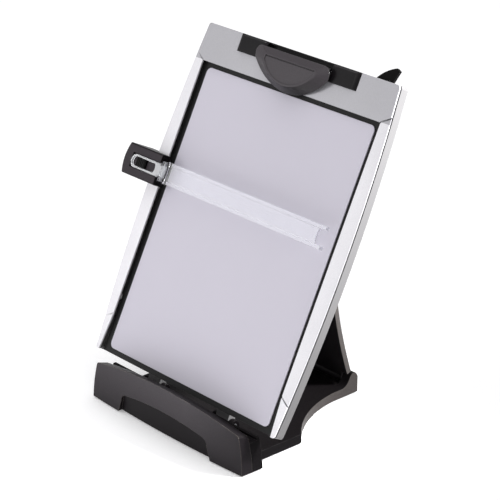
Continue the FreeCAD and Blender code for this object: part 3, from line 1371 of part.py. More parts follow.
def write():
    """Write each piece to its own file."""
    for body in parts:
        body.Shape.exportStep("parts/%s.step" % body.Label)
        box = body.Shape.BoundBox
        print("%-18s solids %2d volume %9.1f  x %7.1f %7.1f  y %7.1f %7.1f  z %7.1f %7.1f" % (
            body.Label, len(body.Shape.Solids), body.Shape.Volume, box.XMin, box.XMax, box.YMin, box.YMax,
            box.ZMin, box.ZMax))


build()
write()
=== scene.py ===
import json
import math

import bmesh
import bpy
from mathutils import Matrix, Vector


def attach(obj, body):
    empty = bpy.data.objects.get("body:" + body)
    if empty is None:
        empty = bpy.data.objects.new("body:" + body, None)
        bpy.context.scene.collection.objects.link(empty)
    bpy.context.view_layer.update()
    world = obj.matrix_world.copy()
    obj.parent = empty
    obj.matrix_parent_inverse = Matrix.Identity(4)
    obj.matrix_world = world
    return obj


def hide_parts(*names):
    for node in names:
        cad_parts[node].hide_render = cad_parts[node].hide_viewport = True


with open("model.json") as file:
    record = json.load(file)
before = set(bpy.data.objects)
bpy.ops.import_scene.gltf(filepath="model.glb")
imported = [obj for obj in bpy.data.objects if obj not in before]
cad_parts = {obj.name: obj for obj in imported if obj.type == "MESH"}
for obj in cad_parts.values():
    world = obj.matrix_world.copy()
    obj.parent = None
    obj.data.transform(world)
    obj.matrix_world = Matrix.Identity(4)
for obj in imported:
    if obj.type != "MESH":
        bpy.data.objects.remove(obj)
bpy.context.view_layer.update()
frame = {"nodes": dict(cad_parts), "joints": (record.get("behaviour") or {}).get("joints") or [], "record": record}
nodes = frame["nodes"]
record = frame["record"]
jointPlace = {joint["name"]: joint.get("pos_m") for joint in frame["joints"]}
bodyOfNode = {
    node: body for body, members in record["behaviour"]["bodies"].items() for node in members
}
print("frame loaded:", len(nodes), "CAD nodes")

# ---- camera, light and desk

cameraView = {
    "place": (1.2714, -1.0476, 0.8577),
    "aim": (0.0, 0.07953, 0.14356),
    "lens": 156.6,
    "sensor": 36.0,
    "reach": 50,
}


def linkNew(name, data):
    thing = bpy.data.objects.new(name, data)
    bpy.context.scene.collection.objects.link(thing)
    return thing


def turnTowards(thing, place, aim):
    thing.location = place
    thing.rotation_euler = (Vector(aim) - Vector(place)).to_track_quat("-Z", "Y").to_euler()


def addCamera(view):
    data = bpy.data.cameras.new("deskCamera")
    data.lens = view["lens"]
    data.sensor_width = view["sensor"]
    data.clip_end = view["reach"]
    camera = linkNew("deskCamera", data)
    turnTowards(camera, view["place"], view["aim"])
    bpy.context.scene.camera = camera


addCamera(cameraView)

softPanels = {
    "overheadPanel": {
        "place": (-0.2, 0.2, 2.5), "aim": (0, 0.05, 0), "size": (2.4, 2.4), "power": 24,
    },
    "frontLeftPanel": {
        "place": (-1.7, -1.9, 0.9), "aim": (0, 0.05, 0.15), "size": (1.3, 1.0), "power": 8.5,
    },
}
sideLamp = {
    "place": (0.55, 0.42, 0.6), "aim": (0.125, 0.12, 0.26), "cone": 38, "blend": 1.0,
    "radius": 0.06, "power": 84,
}


def addLight(name, kind, look):
    data = bpy.data.lights.new(name, kind)
    data.energy = look["power"]
    light = linkNew(name, data)
    light.visible_camera = False
    turnTowards(light, look["place"], look["aim"])
    return data


def addSoftPanel(name, look):
    data = addLight(name, "AREA", look)
    data.shape = "RECTANGLE"
    data.size, data.size_y = look["size"]


def addSideLamp(look):  # a narrow soft beam that falls off down the board's right side
    data = addLight("sideLamp", "SPOT", look)
    data.spot_size = math.radians(look["cone"])
    data.spot_blend = look["blend"]
    data.shadow_soft_size = look["radius"]


for panelName, panelLook in softPanels.items():
    addSoftPanel(panelName, panelLook)
addSideLamp(sideLamp)

paleRoom = {"colour": (0.96, 0.955, 0.965, 1), "strength": 0.6}


def fillRoom(look):
    world = bpy.data.worlds.new("paleRoom")
    world.use_nodes = True
    backdrop = world.node_tree.nodes["Background"]
    backdrop.inputs["Color"].default_value = look["colour"]
    backdrop.inputs["Strength"].default_value = look["strength"]
    bpy.context.scene.world = world


fillRoom(paleRoom)
bpy.context.scene.view_settings.view_transform = "Standard"
bpy.context.scene.view_settings.look = "None"

deskTop = {"half": 6.0, "colour": (0.95, 0.95, 0.955, 1), "roughness": 0.8, "glow": 0.26}


def addDeskTop(look):
    mesh = bpy.data.meshes.new("deskTop")
    half = look["half"]
    corners = [(-half, -half, 0), (half, -half, 0), (half, half, 0), (-half, half, 0)]
    mesh.from_pydata(corners, [], [(0, 1, 2, 3)])
    paint = bpy.data.materials.new("deskPale")
    paint.use_nodes = True
    shader = paint.node_tree.nodes["Principled BSDF"]
    shader.inputs["Base Color"].default_value = look["colour"]
    shader.inputs["Roughness"].default_value = look["roughness"]
    shader.inputs["Emission Color"].default_value = look["colour"]
    shader.inputs["Emission Strength"].default_value = look["glow"]
    mesh.materials.append(paint)
    linkNew("deskTop", mesh)


addDeskTop(deskTop)
print("camera, lights and desk made")

# ---- the board's own frame: across, up the board, out of its face

boardFoot = Vector((0, -0.0027, 0.0262))
boardAngle = math.radians(63.4)
boardAcross = Vector((1, 0, 0))
boardUp = Vector((0, math.cos(boardAngle), math.sin(boardAngle)))
boardOut = Vector((0, -math.sin(boardAngle), math.cos(boardAngle)))


def onBoard(across, up, out):
    return boardFoot + boardAcross * across + boardUp * up + boardOut * out


# ---- building blocks of the shaders


def newGroup(name, inputs, outputs):
    group = bpy.data.node_groups.new(name, "ShaderNodeTree")
    for label, value in inputs.items():
        kind = "NodeSocketColor" if isinstance(value, tuple) else "NodeSocketFloat"
        socket = group.interface.new_socket(label, in_out="INPUT", socket_type=kind)
        socket.default_value = value
    for label, kind in outputs.items():
        group.interface.new_socket(label, in_out="OUTPUT", socket_type="NodeSocket" + kind)
    start = group.nodes.new("NodeGroupInput").outputs
    return group, start, group.nodes.new("NodeGroupOutput")


def setInputs(tree, node, values):
    for socket, value in values.items():
        if isinstance(value, bpy.types.NodeSocket):
            tree.links.new(value, node.inputs[socket])
        else:
            node.inputs[socket].default_value = value


def addNode(tree, kind, values=None, **settings):
    node = tree.nodes.new("ShaderNode" + kind)
    for name, value in settings.items():
        setattr(node, name, value)
    setInputs(tree, node, values or {})
    return node


def useEffect(tree, group, values):
    return addNode(tree, "Group", values, node_tree=group).outputs


def addMath(tree, operation, *values):
    return addNode(tree, "Math", dict(enumerate(values)), operation=operation).outputs[0]


def multiplyAll(tree, first, *others):
    for other in others:
        first = addMath(tree, "MULTIPLY", first, other)
    return first


def addRange(tree, value, low, high, toLow=0.0, toHigh=1.0):
    values = {"Value": value, "From Min": low, "From Max": high, "To Min": toLow, "To Max": toHigh}
    return addNode(tree, "MapRange", values).outputs["Result"]


def addBlend(tree, factor, first, second):
    values = {0: factor, 6: first, 7: second}
    return addNode(tree, "Mix", values, data_type="RGBA").outputs[2]


def addNoise(tree, place, size, detail):
    values = {"Vector": place, "Scale": size, "Detail": detail}
    return addNode(tree, "TexNoise", values).outputs["Fac"]


def addDot(tree, first, second):
    return addNode(tree, "VectorMath", {0: first, 1: second},
                   operation="DOT_PRODUCT").outputs["Value"]


def scaleColour(tree, colour, amount):
    return addNode(tree, "VectorMath", {0: colour, "Scale": amount}, operation="SCALE").outputs[0]


def splitAxes(tree, vector):
    return addNode(tree, "SeparateXYZ", {0: vector}).outputs


def pieceCoordinate(tree, kind):  # in the piece's own space, so that no pose changes it
    return addNode(tree, "TexCoord").outputs[kind]


middleTone = 0.5


def fromMiddle(tree, tone):  # turns a tone of 0 to 1 into a change of -0.5 to 0.5
    return addMath(tree, "SUBTRACT", tone, middleTone)


# ---- shared shader effects; a noise is (size, detail), a range (low, high, to low, to high)

plainDark = (0.03, 0.03, 0.03, 1)
plainPaler = (0.07, 0.063, 0.07, 1)
plainSilver = (0.6, 0.6, 0.62, 1)
grainShape = {"fineDetail": 3.0, "slowDrift": (17.0, 4.0), "glossDrift": 0.16}


def makeMouldGrain(shape):  # fine spark-eroded texture with a slow drift of shade and gloss
    group, start, end = newGroup(
        "mouldGrain",
        {"Colour": plainDark, "Size": 1400.0, "Mottle": 0.12, "Roughness": 0.4},
        {"Colour": "Color", "Roughness": "Float", "Height": "Float"},
    )
    place = pieceCoordinate(group, "Object")
    drift = fromMiddle(group, addNoise(group, place, *shape["slowDrift"]))
    shade = addMath(group, "MULTIPLY_ADD", drift, start["Mottle"], 1.0)
    setInputs(group, end, {
        "Colour": scaleColour(group, start["Colour"], shade),
        "Roughness": addMath(group, "MULTIPLY_ADD", drift, shape["glossDrift"], start["Roughness"]),
        "Height": addNoise(group, place, start["Size"], shape["fineDetail"]),
    })
    return group


mouldGrain = makeMouldGrain(grainShape)
wearAndHighlightShape = {
    "bevelSamples": 6, "sharpTurn": (0.992, 0.84),
    "patchNoise": (130.0, 5.0), "patchRange": (0.35, 0.62, 0.35, 1.0),
}


def makeEdgeWearAndHighlight(shape):  # rubbed edges, also painted edge highlights: where the surface turns sharply, broken up by noise
    group, start, end = newGroup(
        "edgeWearAndHighlight",
        {"Colour": plainDark, "Worn": plainPaler, "Amount": 0.4, "Width": 0.0006},
        {"Colour": "Color"},
    )
    bevel = addNode(group, "Bevel", {"Radius": start["Width"]}, samples=shape["bevelSamples"])
    flat = addNode(group, "NewGeometry").outputs["True Normal"]
    edge = addRange(group, addDot(group, bevel.outputs[0], flat), *shape["sharpTurn"])
    noise = addNoise(group, pieceCoordinate(group, "Object"), *shape["patchNoise"])
    patches = addRange(group, noise, *shape["patchRange"])
    mask = multiplyAll(group, edge, patches, start["Amount"])
    setInputs(group, end, {"Colour": addBlend(group, mask, start["Colour"], start["Worn"])})
    return group


edgeWearAndHighlight = makeEdgeWearAndHighlight(wearAndHighlightShape)
dustShape = {
    "colour": (0.45, 0.43, 0.4, 1), "facingUp": (0.2, 0.95),
    "speckNoise": (420.0, 6.0), "speckRange": (0.38, 0.72, 0.3, 1.0),
}


def makeDustFilm(shape):  # pale dust that settles on what faces up
    group, start, end = newGroup(
        "dustFilm", {"Colour": plainDark, "Amount": 0.05}, {"Colour": "Color"})
    normal = splitAxes(group, pieceCoordinate(group, "Normal"))
    facing = addRange(group, normal["Z"], *shape["facingUp"])
    noise = addNoise(group, pieceCoordinate(group, "Object"), *shape["speckNoise"])
    specks = addRange(group, noise, *shape["speckRange"])
    mask = multiplyAll(group, facing, specks, start["Amount"])
    setInputs(group, end, {"Colour": addBlend(group, mask, start["Colour"], shape["colour"])})
    return group


dustFilm = makeDustFilm(dustShape)


def newPaintedLightZone(name, limits):  # painted light: a paler or darker tone that covers only part of a piece
    inputs = {"Colour": plainDark, "Zone": plainPaler} | limits
    return newGroup(name, inputs, {"Colour": "Color"})


def finishPaintedLightZone(group, start, end, zone, shape):
    noise = addNoise(group, pieceCoordinate(group, "Object"), *shape["speckleNoise"])
    mask = multiplyAll(group, zone, addRange(group, noise, *shape["speckleRange"]))
    setInputs(group, end, {"Colour": addBlend(group, mask, start["Colour"], start["Zone"])})
    return group


paintedSideLightShape = {
    "outward": (0.35, 0.6), "beside": (0.045, 0.0455), "behindBlend": 0.001,
    "speckleNoise": (900.0, 2.0), "speckleRange": (0.3, 0.7, 0.75, 1.0),
}


def makePaintedSideLight(shape):  # painted light: a paler tone on the outward-facing side walls, beside and behind given lines, as if lit from the side
    group, start, end = newPaintedLightZone("paintedSideLight", {"Start": 0.06})
    normal = splitAxes(group, pieceCoordinate(group, "Normal"))
    spot = splitAxes(group, pieceCoordinate(group, "Object"))
    outward = addMath(group, "MULTIPLY", normal["X"], addMath(group, "SIGN", spot["X"]))
    beside = addMath(group, "ABSOLUTE", spot["X"])
    behind = addMath(group, "SUBTRACT", spot["Y"], start["Start"])
    zone = multiplyAll(
        group,
        addRange(group, outward, *shape["outward"]),
        addRange(group, beside, *shape["beside"]),
        addRange(group, behind, 0.0, shape["behindBlend"]),
    )
    return finishPaintedLightZone(group, start, end, zone, shape)


paintedLeanLightShape = {
    "untilBlend": 0.2, "fadeLength": 0.1, "lowerFade": (0.004, 0.042, 0.45, 1.0),
    "sideways": (0.75, 0.5),
    "speckleNoise": (1100.0, 2.0), "speckleRange": (0.3, 0.7, 0.85, 1.0),
}


def makePaintedLeanLight(shape):  # painted light and shade: front faces that lean back get a paler tone, as if lit from above, fading darker to the right and downwards
    group, start, end = newPaintedLightZone(
        "paintedLeanLight", {"From": 0.02, "To": 0.08, "Until": 2.0, "Fade": 1.0})
    normal = splitAxes(group, pieceCoordinate(group, "Normal"))
    spot = splitAxes(group, pieceCoordinate(group, "Object"))
    past = addMath(group, "SUBTRACT", normal["Z"], start["Until"])
    beyond = addMath(group, "SUBTRACT", spot["X"], start["Fade"])
    sideways = addMath(group, "ABSOLUTE", normal["X"])
    zone = multiplyAll(
        group,
        addRange(group, normal["Z"], start["From"], start["To"]),
        addRange(group, past, shape["untilBlend"], 0.0),
        addRange(group, beyond, 0.0, -shape["fadeLength"]),
        addRange(group, spot["Z"], *shape["lowerFade"]),
        addRange(group, sideways, *shape["sideways"]),
    )
    return finishPaintedLightZone(group, start, end, zone, shape)


paintedFaceLightShape = {"speckleNoise": (1100.0, 2.0), "speckleRange": (0.3, 0.7, 0.85, 1.0)}


def makePaintedFaceLight(shape):  # painted light: the faces that look straight out of the board get a paler tone than the flanks
    group, start, end = newPaintedLightZone("paintedFaceLight", {"From": 0.85, "To": 0.97})
    facing = addDot(group, pieceCoordinate(group, "Normal"), tuple(boardOut))
    zone = addRange(group, facing, start["From"], start["To"])
    return finishPaintedLightZone(group, start, end, zone, shape)


# painted light and shade, each by the way a face points
paintedLightZones = {
    "side": makePaintedSideLight(paintedSideLightShape),
    "lean": makePaintedLeanLight(paintedLeanLightShape),
    "face": makePaintedFaceLight(paintedFaceLightShape),
}
flakeSize = 2600.0


def makePaintFlake(size):  # tiny flakes in silver paint, each with its own shade
    group, start, end = newGroup(
        "paintFlake", {"Colour": plainSilver, "Sparkle": 0.1}, {"Colour": "Color"})
    place = pieceCoordinate(group, "Object")
    cells = addNode(group, "TexVoronoi", {"Vector": place, "Scale": size})
    tone = addNode(group, "SeparateColor", {0: cells.outputs["Color"]}).outputs[0]
    shade = addMath(group, "MULTIPLY_ADD", fromMiddle(group, tone), start["Sparkle"], 1.0)
    setInputs(group, end, {"Colour": scaleColour(group, start["Colour"], shade)})
    return group


paintFlake = makePaintFlake(flakeSize)


def makeBoardPlace():  # how far a point lies from the middle line, up the board and out of it
    group, _, end = newGroup("boardPlace", {}, {"Beside": "Float", "Up": "Float", "Out": "Float"})
    place = pieceCoordinate(group, "Object")
    fromFoot = addNode(group, "VectorMath", {0: place, 1: tuple(boardFoot)},
                       operation="SUBTRACT").outputs[0]
    setInputs(group, end, {
        "Beside": addMath(group, "ABSOLUTE", splitAxes(group, fromFoot)["X"]),
        "Up": addDot(group, fromFoot, tuple(boardUp)),
        "Out": addDot(group, fromFoot, tuple(boardOut)),
    })
    return group


boardPlace = makeBoardPlace()
print("shader effects made")

# ---- finishes


def newMaterial(name):
    material = bpy.data.materials.new(name)
    material.use_nodes = True
    return material, material.node_tree, material.node_tree.nodes["Principled BSDF"]


def addBump(tree, height, strength, distance):
    values = {"Strength": strength, "Distance": distance, "Height": height}
    return addNode(tree, "Bump", values).outputs["Normal"]


gapBlend = 0.00005
paintedGapShade = (0.004, 0.004, 0.004, 1)


def gapShadeMask(tree, gap):  # painted shade: darkens the gap between the frame and the shell, between two depths, where shadow falls
    low, high = gap
    out = useEffect(tree, boardPlace, {})["Out"]
    return multiplyAll(
        tree,
        addRange(tree, out, low, low + gapBlend),
        addRange(tree, out, high + gapBlend, high),
    )


plasticDefaults = {
    "grain": 1400.0, "mottle": 0.14, "bump": 0.12, "bumpDepth": 0.0002, "specular": 0.3,
    "worn": (0.11, 0.105, 0.105), "wear": 0.35, "wearWidth": 0.0007, "dust": 0.012,
}


def mouldedPlastic(name, ownLook):
    look = plasticDefaults | ownLook
    material, tree, shader = newMaterial(name)
    colour = (*look["colour"], 1)
    # painted light and shade: paler tones on the faces that would catch more light
    for zone, paintedLight in paintedLightZones.items():
        if zone in look:
            colour = useEffect(tree, paintedLight, {"Colour": colour} | look[zone])["Colour"]
    # painted shade in the gap between the frame and the shell
    if "gap" in look:
        colour = addBlend(tree, gapShadeMask(tree, look["gap"]), colour, paintedGapShade)
    grain = useEffect(tree, mouldGrain, {
        "Colour": colour, "Size": look["grain"], "Mottle": look["mottle"],
        "Roughness": look["roughness"],
    })
    worn = useEffect(tree, edgeWearAndHighlight, {
        "Colour": grain["Colour"], "Worn": (*look["worn"], 1), "Amount": look["wear"],
        "Width": look["wearWidth"],
    })
    dusty = useEffect(tree, dustFilm, {"Colour": worn["Colour"], "Amount": look["dust"]})
    setInputs(tree, shader, {
        "Base Color": dusty["Colour"],
        "Roughness": grain["Roughness"],
        "Normal": addBump(tree, grain["Height"], look["bump"], look["bumpDepth"]),
        "Specular IOR Level": look["specular"],
    })
    return material


def silverPaint(name, look):
    material, tree, shader = newMaterial(name)
    spot = useEffect(tree, boardPlace, {})
    # painted light: the side rails get a paler tone than the top bar, as if catching more light
    rail = look["rail"]
    beside = addRange(tree, spot["Beside"], rail["start"], rail["start"] + rail["blend"])
    below = addRange(tree, spot["Up"], rail["top"] + rail["blend"], rail["top"])
    paintedRailLight = multiplyAll(tree, beside, below)
    tone = addBlend(tree, paintedRailLight, (*look["colour"], 1), (*rail["colour"], 1))
    # painted shade: the frame's outer edge is darkened where the shadow gap falls, and loses its coat there
    inGap = gapShadeMask(tree, look["gap"])
    tone = addBlend(tree, inGap, tone, paintedGapShade)
    # painted shade: ambient occlusion darkens the seams and creases
    seam = look["seam"]
    seamShade = addNode(tree, "AmbientOcclusion", {"Distance": seam["reach"]},
                     samples=seam["samples"], only_local=True)
    tone = scaleColour(tree, tone, addRange(tree, seamShade.outputs["AO"], *seam["shade"]))
    flake = useEffect(tree, paintFlake, {"Colour": tone, "Sparkle": look["sparkle"]})
    dusty = useEffect(tree, dustFilm, {"Colour": flake["Colour"], "Amount": look["dust"]})
    smooth = useEffect(tree, mouldGrain, {"Size": look["grain"], "Roughness": look["roughness"]})
    setInputs(tree, shader, {
        "Base Color": dusty["Colour"],
        "Roughness": smooth["Roughness"],
        "Normal": addBump(tree, smooth["Height"], look["bump"], look["bumpDepth"]),
        "Metallic": look["metallic"],
        "Coat Weight": addMath(tree, "MULTIPLY_ADD", inGap, -look["coat"], look["coat"]),
        "Coat Roughness": look["coatRoughness"],
    })
    return material


turnedShape = {
    "grain": 2400.0, "mottle": 0.25, "lines": 900.0, "waver": 1.2, "bump": 0.08,
    "bumpDepth": 0.0001,
}


def turnedMetal(name, look):
    material, tree, shader = newMaterial(name)
    shape = turnedShape
    grain = useEffect(tree, mouldGrain, {
        "Colour": (*look["colour"], 1), "Size": shape["grain"], "Mottle": shape["mottle"],
        "Roughness": look["roughness"],
    })
    lines = addNode(tree, "TexWave", {
        "Vector": pieceCoordinate(tree, "Object"), "Scale": shape["lines"],
        "Distortion": shape["waver"],
    }, bands_direction="X")
    setInputs(tree, shader, {
        "Base Color": grain["Colour"],
        "Roughness": grain["Roughness"],
        "Normal": addBump(tree, lines.outputs["Fac"], shape["bump"], shape["bumpDepth"]),
        "Metallic": 1.0,
    })
    return material


acrylicShape = {
    "streakNoise": (60.0, 5.0), "streakRange": (0.3, 0.75), "haze": 0.06,
    "waveNoise": (900.0, 2.0), "bump": 0.02, "bumpDepth": 0.0001, "bend": 1.49,
    "tint": (0.93, 0.94, 0.95, 1), "shadowPassed": 0.9, "deepest": 2.5,
}


def clearAcrylic(name, look):  # shadow rays and rays deep inside pass straight through
    material, tree, shader = newMaterial(name)
    shape = acrylicShape
    place = pieceCoordinate(tree, "Object")
    streaks = addNoise(tree, place, *shape["streakNoise"])
    waves = addNoise(tree, place, *shape["waveNoise"])
    setInputs(tree, shader, {
        "Base Color": (*look["colour"], 1),
        "Roughness": addRange(tree, streaks, *shape["streakRange"], look["roughness"],
                              look["roughness"] + shape["haze"]),
        "Normal": addBump(tree, waves, shape["bump"], shape["bumpDepth"]),
        "Transmission Weight": look["clear"],
        "IOR": shape["bend"],
    })
    seeThrough = addNode(tree, "BsdfTransparent", {"Color": shape["tint"]})
    path = addNode(tree, "LightPath").outputs
    shadow = addMath(tree, "MULTIPLY", path["Is Shadow Ray"], shape["shadowPassed"])
    deep = addMath(tree, "GREATER_THAN", path["Ray Depth"], shape["deepest"])
    passed = addMath(tree, "MAXIMUM", shadow, deep)
    blend = addNode(
        tree, "MixShader", {0: passed, 1: shader.outputs[0], 2: seeThrough.outputs[0]})
    setInputs(tree, tree.nodes["Material Output"], {"Surface": blend.outputs[0]})
    return material


# ---- pieces made from the CAD surfaces

joinDistance = 2e-6
easing = {"angle": math.radians(28), "segments": 2, "normalWeight": 100}


def cleanCopy(nodeName, near):  # the CAD node's surface with its faces joined up again
    source = nodes[nodeName].data
    mesh = bpy.data.meshes.new(nodeName + "Mesh")
    points = [tuple(vertex.co) for vertex in source.vertices]
    faces = [tuple(face.vertices) for face in source.polygons]
    mesh.from_pydata(points, [], faces)
    work = bmesh.new()
    work.from_mesh(mesh)
    bmesh.ops.remove_doubles(work, verts=work.verts, dist=near)
    bmesh.ops.dissolve_degenerate(work, dist=near, edges=work.edges)
    bmesh.ops.recalc_face_normals(work, faces=work.faces)
    work.to_mesh(mesh)
    work.free()
    return mesh


def smoothFaces(mesh, sharpAngle):
    for face in mesh.polygons:
        face.use_smooth = True
    mesh.set_sharp_from_angle(angle=sharpAngle)


def joinIn(piece, nodeName):  # the piece stands for the CAD node and moves with its body
    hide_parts(nodeName)
    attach(piece, bodyOfNode[nodeName])
    return piece


def softenedPiece(nodeName, edge, near):  # a copy of the CAD node with its edges eased
    mesh = cleanCopy(nodeName, near)
    piece = linkNew(nodeName + "_eased", mesh)
    smoothFaces(mesh, easing["angle"])
    ease = piece.modifiers.new("easedEdges", "BEVEL")
    ease.width = edge
    ease.segments = easing["segments"]
    ease.limit_method = "ANGLE"
    ease.angle_limit = easing["angle"]
    ease.use_clamp_overlap = False
    ease.miter_outer = "MITER_SHARP"
    even = piece.modifiers.new("evenShading", "WEIGHTED_NORMAL")
    even.keep_sharp = False
    even.weight = easing["normalWeight"]
    return joinIn(piece, nodeName)


def paintPiece(piece, material):
    piece.data.materials.clear()
    piece.data.materials.append(material)


def dressNode(look, makeFinish):
    material = makeFinish(look["name"], look)
    if "edge" in look:
        near = look.get("near", joinDistance)
        paintPiece(softenedPiece(look["node"], look["edge"], near), material)
    else:
        paintPiece(nodes[look["node"]], material)


black = (0.0078, 0.0066, 0.0076)

baseTray = {
    "node": "base_tray", "name": "trayBlack", "colour": (0.0042, 0.0034, 0.004),
    "roughness": 0.44, "edge": 0.0004, "specular": 0.04,
    # painted light: the outward side walls behind the front block get a paler tone
    "side": {"Zone": (0.064, 0.057, 0.0545, 1), "Start": 0.0594},
    # painted light: the upward-facing deck gets a paler tone
    "lean": {"Zone": (0.0085, 0.007, 0.0082, 1), "From": 0.3, "To": 0.8, "Until": 2.0, "Fade": 1.0},
}
frontLedge = {
    "node": "front_ledge", "name": "ledgeBlack", "colour": (0.0085, 0.0068, 0.0082),
    "roughness": 0.4, "edge": 0.00025, "near": 0.00015, "specular": 0.06,
    # painted light and shade: the leaning front face is paler than the recess and darker towards its right end and
    # its foot
    "lean": {"Zone": (0.069, 0.062, 0.068, 1), "From": -0.04, "To": 0.01, "Until": 0.3,
             "Fade": 0.13},
    # painted highlight and wear: strong pale edge wear stands in for the light line along the ledge's top front
    # edge
    "wear": 0.7, "worn": (0.3, 0.275, 0.24),
}
supportLeg = {
    "node": "support_leg", "name": "legBlack", "colour": black, "roughness": 0.44,
    "edge": 0.0004, "specular": 0.12,
    # painted light: the leg's outward side edges get a paler tone
    "side": {"Zone": (0.078, 0.07, 0.067, 1), "Start": 0.05},
}
backShell = {
    "node": "back_shell", "name": "shellGrey", "colour": (0.155, 0.152, 0.155),
    "roughness": 0.4, "edge": 0.00025, "worn": (0.6, 0.6, 0.62), "bump": 0.08,
    # painted shade: the shell's rim next to the frame is darkened as the shadow gap
    "specular": 0.15, "gap": (-0.0017, -0.0004),
}
innerPanel = {
    "node": "inner_panel", "name": "panelBlack", "colour": (0.008, 0.008, 0.0085),
    "roughness": 0.55,
}
memoPanel = {
    "node": "memo_panel", "name": "memoWhite", "colour": (0.6, 0.575, 0.655),
    "roughness": 0.38, "edge": 0.0003, "mottle": 0.02, "worn": (0.8, 0.8, 0.84),
    "bump": 0.02, "specular": 0.4,
}
legRack = {
    "node": "leg_rack", "name": "rackBlack", "colour": black, "roughness": 0.5,
    "edge": 0.0003,
}
guideTrack = {
    "node": "guide_track", "name": "trackBlack", "colour": black, "roughness": 0.35,
    "edge": 0.0002,
}
penClip = {
    "node": "pen_clip", "name": "penClipBlack", "colour": (0.0016, 0.0014, 0.0015),
    "roughness": 0.42, "edge": 0.0003, "specular": 0.06,
}
clipHousing = {
    "node": "clip_housing", "name": "housingBlack", "colour": (0.0065, 0.0056, 0.0068),
    "roughness": 0.4, "edge": 0.0003, "specular": 0.14,
}
clipJaw = {
    "node": "clip_jaw", "name": "jawBlack", "colour": (0.014, 0.012, 0.014),
    "roughness": 0.31, "edge": 0.0003, "near": 0.0001, "specular": 0.18,
    # painted light: the jaw's front field is paler than its flanks
    "face": {"Zone": (0.068, 0.06, 0.067, 1), "From": 0.6, "To": 0.98},
}
sliderFront = {
    "node": "slider_front", "name": "sliderBlack", "colour": (0.003, 0.0026, 0.003),
    "roughness": 0.34, "edge": 0.0004, "specular": 0.06,
    # painted light: the slider's front face is paler than its sides
    "face": {"Zone": (0.05, 0.043, 0.049, 1), "From": 0.8, "To": 0.97},
}
sliderBack = {
    "node": "slider_back", "name": "sliderBackBlack", "colour": black, "roughness": 0.45,
    "edge": 0.0003,
}
sliderChassis = {
    "node": "slider_chassis", "name": "chassisBlack", "colour": black, "roughness": 0.5,
}
guideButton = {
    "node": "guide_button", "name": "buttonBlack", "colour": (0.004, 0.004, 0.004),
    "roughness": 0.5, "edge": 0.00012, "specular": 0.15, "wear": 0.1,
}
for look in (baseTray, frontLedge, supportLeg, backShell, innerPanel, memoPanel, legRack,
             guideTrack, penClip, clipHousing, clipJaw, sliderFront, sliderBack, sliderChassis,
             guideButton):
    dressNode(look, mouldedPlastic)
print("moulded pieces made")

frontFrame = {
    "node": "front_frame", "name": "frameSilver", "colour": (0.41, 0.405, 0.43),
    # painted light: the rails' paler colour stands in for the light they catch
    "rail": {"colour": (0.75, 0.74, 0.77), "start": 0.1096, "top": 0.2803, "blend": 0.0002},
    # painted shade: how far and how strongly the seams and creases are darkened
    "seam": {"reach": 0.0012, "samples": 8, "shade": (0.45, 0.9, 0.04, 1.0)},
    # painted shade: the frame's outer edge is darkened as the shadow gap
    "gap": (-0.0012, -0.0005), "roughness": 0.36, "metallic": 0.25, "sparkle": 0.1,
    "dust": 0.02, "grain": 700.0, "bump": 0.05, "bumpDepth": 0.0001,
    "coat": 0.15, "coatRoughness": 0.3, "edge": 0.0002,
}
dressNode(frontFrame, silverPaint)

rubber = {
    "colour": (0.012, 0.012, 0.012), "edge": 0.0003, "roughness": 0.75, "bump": 0.25,
    "specular": 0.2,
}
baseFeet = rubber | {"node": "base_feet", "name": "footRubber"}
legTipPad = rubber | {"node": "leg_tip_pad", "name": "tipRubber"}
clipPad = rubber | {"node": "clip_pad", "name": "padRubber"}
sliderPads = {
    "node": "slider_pads", "name": "padFelt", "colour": (0.1, 0.1, 0.1), "roughness": 0.95,
    "grain": 2500.0, "bump": 0.9, "specular": 0.05, "edge": 0.0002,
}
for look in (baseFeet, legTipPad, clipPad, sliderPads):
    dressNode(look, mouldedPlastic)

pinSteel = {"colour": (0.5, 0.5, 0.52), "roughness": 0.28, "edge": 0.0003}
boardPivotPins = pinSteel | {"node": "board_pivot_pins", "name": "board_pivot_pinsSteel"}
legHingePin = pinSteel | {"node": "leg_hinge_pin", "name": "leg_hinge_pinSteel"}
clipPin = pinSteel | {"node": "clip_pin", "name": "clip_pinSteel"}
guideHingePin = pinSteel | {
    "node": "guide_hinge_pin", "name": "guide_hinge_pinSteel", "edge": 0.0001,
}
for look in (boardPivotPins, legHingePin, clipPin, guideHingePin):
    dressNode(look, turnedMetal)

lineGuide = {
    "node": "line_guide", "name": "guideClear", "colour": (0.97, 0.975, 0.985),
    "roughness": 0.02, "clear": 1.0, "edge": 0.0002,
}
guideTongue = {
    "node": "guide_tongue", "name": "tongueClear", "colour": (0.94, 0.95, 0.97),
    "roughness": 0.05, "clear": 0.7, "edge": 0.0003,
}
for look in (lineGuide, guideTongue):
    dressNode(look, clearAcrylic)
print("silver, rubber, steel and clear pieces made")

# ---- wound springs

wireSides = 8
pointsPerTurn = 20
springSharpAngle = math.radians(35)


def sweepWire(work, points, radius):  # a round wire along a line of points
    rings = []
    normal = (points[1] - points[0]).orthogonal().normalized()
    for index, point in enumerate(points):
        ahead = points[min(index + 1, len(points) - 1)] - points[max(index - 1, 0)]
        ahead.normalize()
        normal = (normal - ahead * normal.dot(ahead)).normalized()
        other = ahead.cross(normal)
        ring = []
        for side in range(wireSides):
            turn = 2 * math.pi * side / wireSides
            spoke = normal * math.cos(turn) + other * math.sin(turn)
            ring.append(work.verts.new(point + spoke * radius))
        rings.append(ring)
    for first, second in zip(rings, rings[1:]):
        for side in range(wireSides):
            after = (side + 1) % wireSides
            work.faces.new((first[side], first[after], second[after], second[side]))
    work.faces.new(rings[0][::-1])
    work.faces.new(rings[-1])


